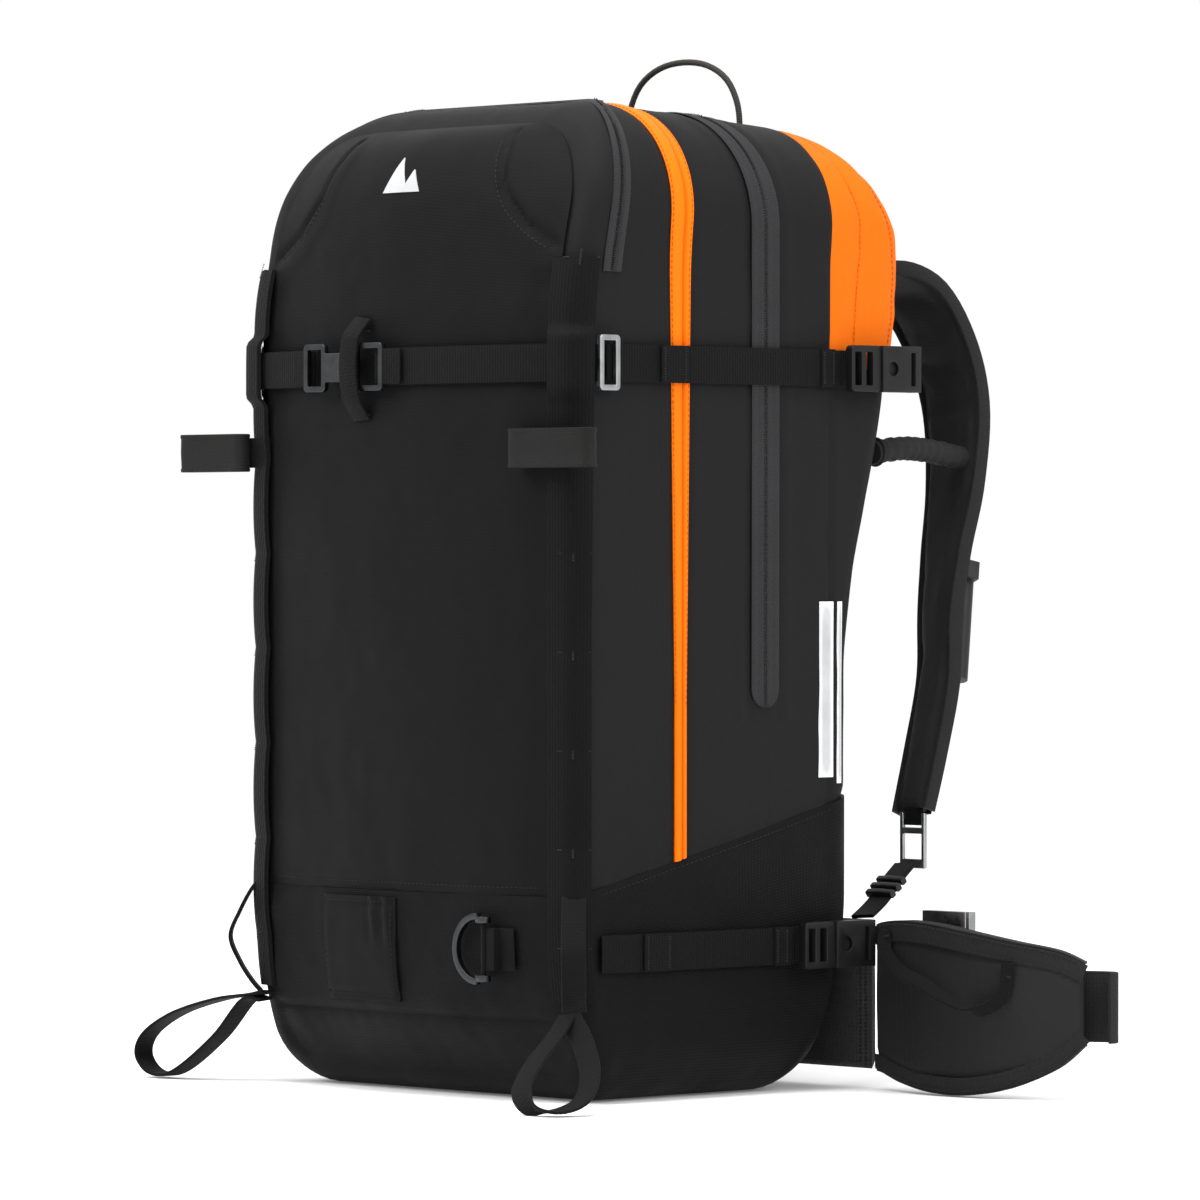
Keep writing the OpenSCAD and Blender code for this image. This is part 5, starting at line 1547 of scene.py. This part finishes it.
# Lumbar pad
lo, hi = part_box("lumbar_pad")
lo, hi = lo / MM, hi / MM
lx, ly0, ly1, lz0, lz1 = hi.x, lo.y, hi.y, lo.z, hi.z
def lumbar_pt(a, b, front):
    x, z = mix(-lx, lx, a), mix(lz0, lz1, b)
    e = min(a, 1 - a) * 2 * lx
    g = min(b, 1 - b) * (lz1 - lz0)
    soft = math.sqrt(max(0, 1 - (1 - clamp(e / 7)) ** 2)) * math.sqrt(max(0, 1 - (1 - clamp(g / 7)) ** 2))
    mid_y = (ly0 + ly1) / 2
    half = (ly1 - ly0) / 2
    if front:
        return Vector((x, mid_y - half * soft, z))
    lobes = 2.6 * bump(x, 13) + 1.5 * bump(abs(x) - 96, 9) + 0.5 * cloth((x, 3, z), 24)
    return Vector((x, mid_y + half * soft - lobes * soft, z))
aa, bb = steps(0, 1, 110), steps(0, 1, 36)
outer = [[lumbar_pt(a, b, False) for b in bb] for a in reversed(aa)]
inner = [[lumbar_pt(a, b, True) for b in bb] for a in reversed(aa)]
v, f, u = slab(outer, inner)
lum = finish_piece("lumbar_pad_mesh", v, f, MESH, "bag", u, ["lumbar_pad"])

# Cable sleeve from the bag to the right strap
x0, y0, z0 = HALF_W - 14, back_y(400, 0) + 1, 400
SLEEVE = ((0, 0, 0), (-4, 31, 3), (-12, 63, 2), (-21, 101, -2))
sleeve = catmull([Vector((x0 + a, y0 + b, z0 + c)) for a, b, c in SLEEVE], 16)
radii = [7.4 + 0.45 * math.sin(i * 1.35) + 0.4 * noise.noise(Vector((i * 0.3, 0, 0)))
         for i in range(len(sleeve))]
v, f, u = tube(sleeve, radii, 20)
finish_piece("cable_sleeve_cloth", v, f, PAD, "bag", u, ["cable_sleeve"])
CUFF_R = 8.4
turn = [a / 24 * 2 * math.pi for a in range(25)]
ring = [Vector((math.cos(w) * CUFF_R, 0, math.sin(w) * CUFF_R)) for w in turn]
cuff = [sleeve[3] + r for r in ring]
v, f, u = tube(cuff, 1.1, 8)
finish_piece("cable_sleeve_cuff", v, f, BINDING, "bag", u, slot="trim_webbing")

# ---------------------------------------------------------------- plain marks
def patch_on_front(points, lift=0.55):
    out = [Vector((x, face_y(z, x / EDGE_X, 0) + front_relief(x, z) - lift, z)) for x, z in points]
    inn = [p + Vector((0, 0.5, 0)) for p in out]
    return out, inn


def peak(cx, base_z, w, h, n=10):
    """A plain triangle, laid on the front in strips."""
    outer, inner = [], []
    for i in range(n + 1):
        k = i / n
        z = mix(base_z, base_z + h, k)
        half = w / 2 * (1 - k) + 0.3
        o, q = patch_on_front([(mix(cx - half, cx + half, j / 6), z) for j in range(7)])
        outer.append(o)
        inner.append(q)
    return slab(outer, inner)


v, f, u = join([peak(-5, 560, 22, 22), peak(9, 560, 16, 14)])
mark = finish_piece("front_mark", v, f, MARK, None, u, slot="shell_fabric")
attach(mark, "pocket_flap")


def side_bar(y0, y1, z0, z1):
    outer = [[skin(t_at(z), y, -0.35) for y in steps(y0, y1, 4)] for z in reversed(steps(z0, z1, 24))]
    inner = [[skin(t_at(z), y, 0.6) for y in steps(y0, y1, 4)] for z in reversed(steps(z0, z1, 24))]
    return slab(outer, inner)


v, f, u = join([side_bar(84, 96, 196, 306), side_bar(101, 104, 192, 306)])
finish_piece("side_bars", v, f, MARK, "bag", u, slot="shell_fabric")

# ---------------------------------------------------------------- seams sewn on the shell
for s in (-1, 1):
    for d_line in DARTS:
        if (d_line[0][0] > 0) != (s > 0):
            continue
        pts = [Vector((x * 0.975, 0, z - 3)) for x, z in d_line]
        line = catmull(pts, 8)
        def run(uu, line=line):
            p = line[int(round(uu * (len(line) - 1)))]
            y = face_y(p.z, clamp(p.x / EDGE_X, -1, 1), 0) + front_relief(p.x, p.z)
            return Vector((p.x, y, p.z)), Vector((0, -1, 0))
        sew("pocket_flap", stitch_row(run, 0.04, 0.9, 24))


def seam_row(uu):
    z = SEAM_FRONT + 5
    return front_pt(mix(-0.93, 0.93, uu), t_at(z), front_relief(mix(-125, 125, uu), z)), Vector((0, -1, 0))


sew("bag", stitch_row(seam_row, 0, 1, 80))
for s in (1, -1):
    for k_at in (0.355, 0.80):
        def run(uu, s=s, k_at=k_at):
            t = s * mix(0, t_at(CROWN_Z), uu)
            v0 = v_at(t, mix(COVER_Y, COVER_TOP_Y, over_top(t)))
            k = k_at + 0.012 + (0.03 * math.sin(t / 23) if k_at < 0.5 else 0.02 * math.sin(t / 31))
            vv = mix(v0, 1, k)
            p = skin_v(t, vv, 0)
            nm = (skin_v(t, vv, -1) - p).normalized()
            return p - nm * cover_relief(p, k, t) * ease((1 - k) / 0.08), nm
        sew("bag", stitch_row(run, 0, 1, 100), THREAD_ORANGE)
    def run(uu, s=s):
        y = mix(-112, 112, uu)
        t = s * t_at(seam_z(y) - 4)
        vv = (y + FRONT) / (FRONT + BACK)
        p = skin_v(t, vv, 0)
        nm = (skin_v(t, vv, -1) - p).normalized()
        return p - nm * boot_relief(p), nm
    sew("bag", stitch_row(run, 0.02, 0.98, 80))

for (body, mat), parts in STITCHES.items():
    v, f, u = join(parts)
    finish_piece("stitching_%s_%s" % (body, mat.name), v, f, mat, body, None, slot="trim_webbing", angle=20)

# ---------------------------------------------------------------- stage, light, world
bpy.ops.mesh.primitive_plane_add(size=16, location=(0, 0, -0.0005))
floor = bpy.context.object
floor.name = "floor"
floor_mat, tree, shader = new_material("floor_paper", (0.93, 0.93, 0.93), 0.85)
shader.inputs["Specular IOR Level"].default_value = 0.0
shader.inputs["Emission Color"].default_value = (1, 1, 1, 1)
shader.inputs["Emission Strength"].default_value = 0.09
floor.data.materials.append(floor_mat)

world = bpy.data.worlds.new("studio")
scene.world = world
world.use_nodes = True
world.node_tree.nodes["Background"].inputs["Color"].default_value = (1, 1, 1, 1)
world.node_tree.nodes["Background"].inputs["Strength"].default_value = 1.0


def softbox(name, place, size, power, target=(0, 0, 0.33)):
    data = bpy.data.lights.new(name, "AREA")
    data.shape = "RECTANGLE"
    data.size, data.size_y = size
    data.energy = power
    lamp = bpy.data.objects.new(name, data)
    scene.collection.objects.link(lamp)
    lamp.location = place
    lamp.rotation_euler = (Vector(target) - Vector(place)).to_track_quat("-Z", "Y").to_euler()


softbox("key_left", (-0.8, -1.5, 1.6), (0.9, 0.9), 24)
softbox("top", (0.2, -0.4, 2.4), (1.6, 1.6), 60)
softbox("side_right", (2.7, 0.2, 1.5), (0.9, 1.8), 40)

scene.view_settings.view_transform = "Standard"
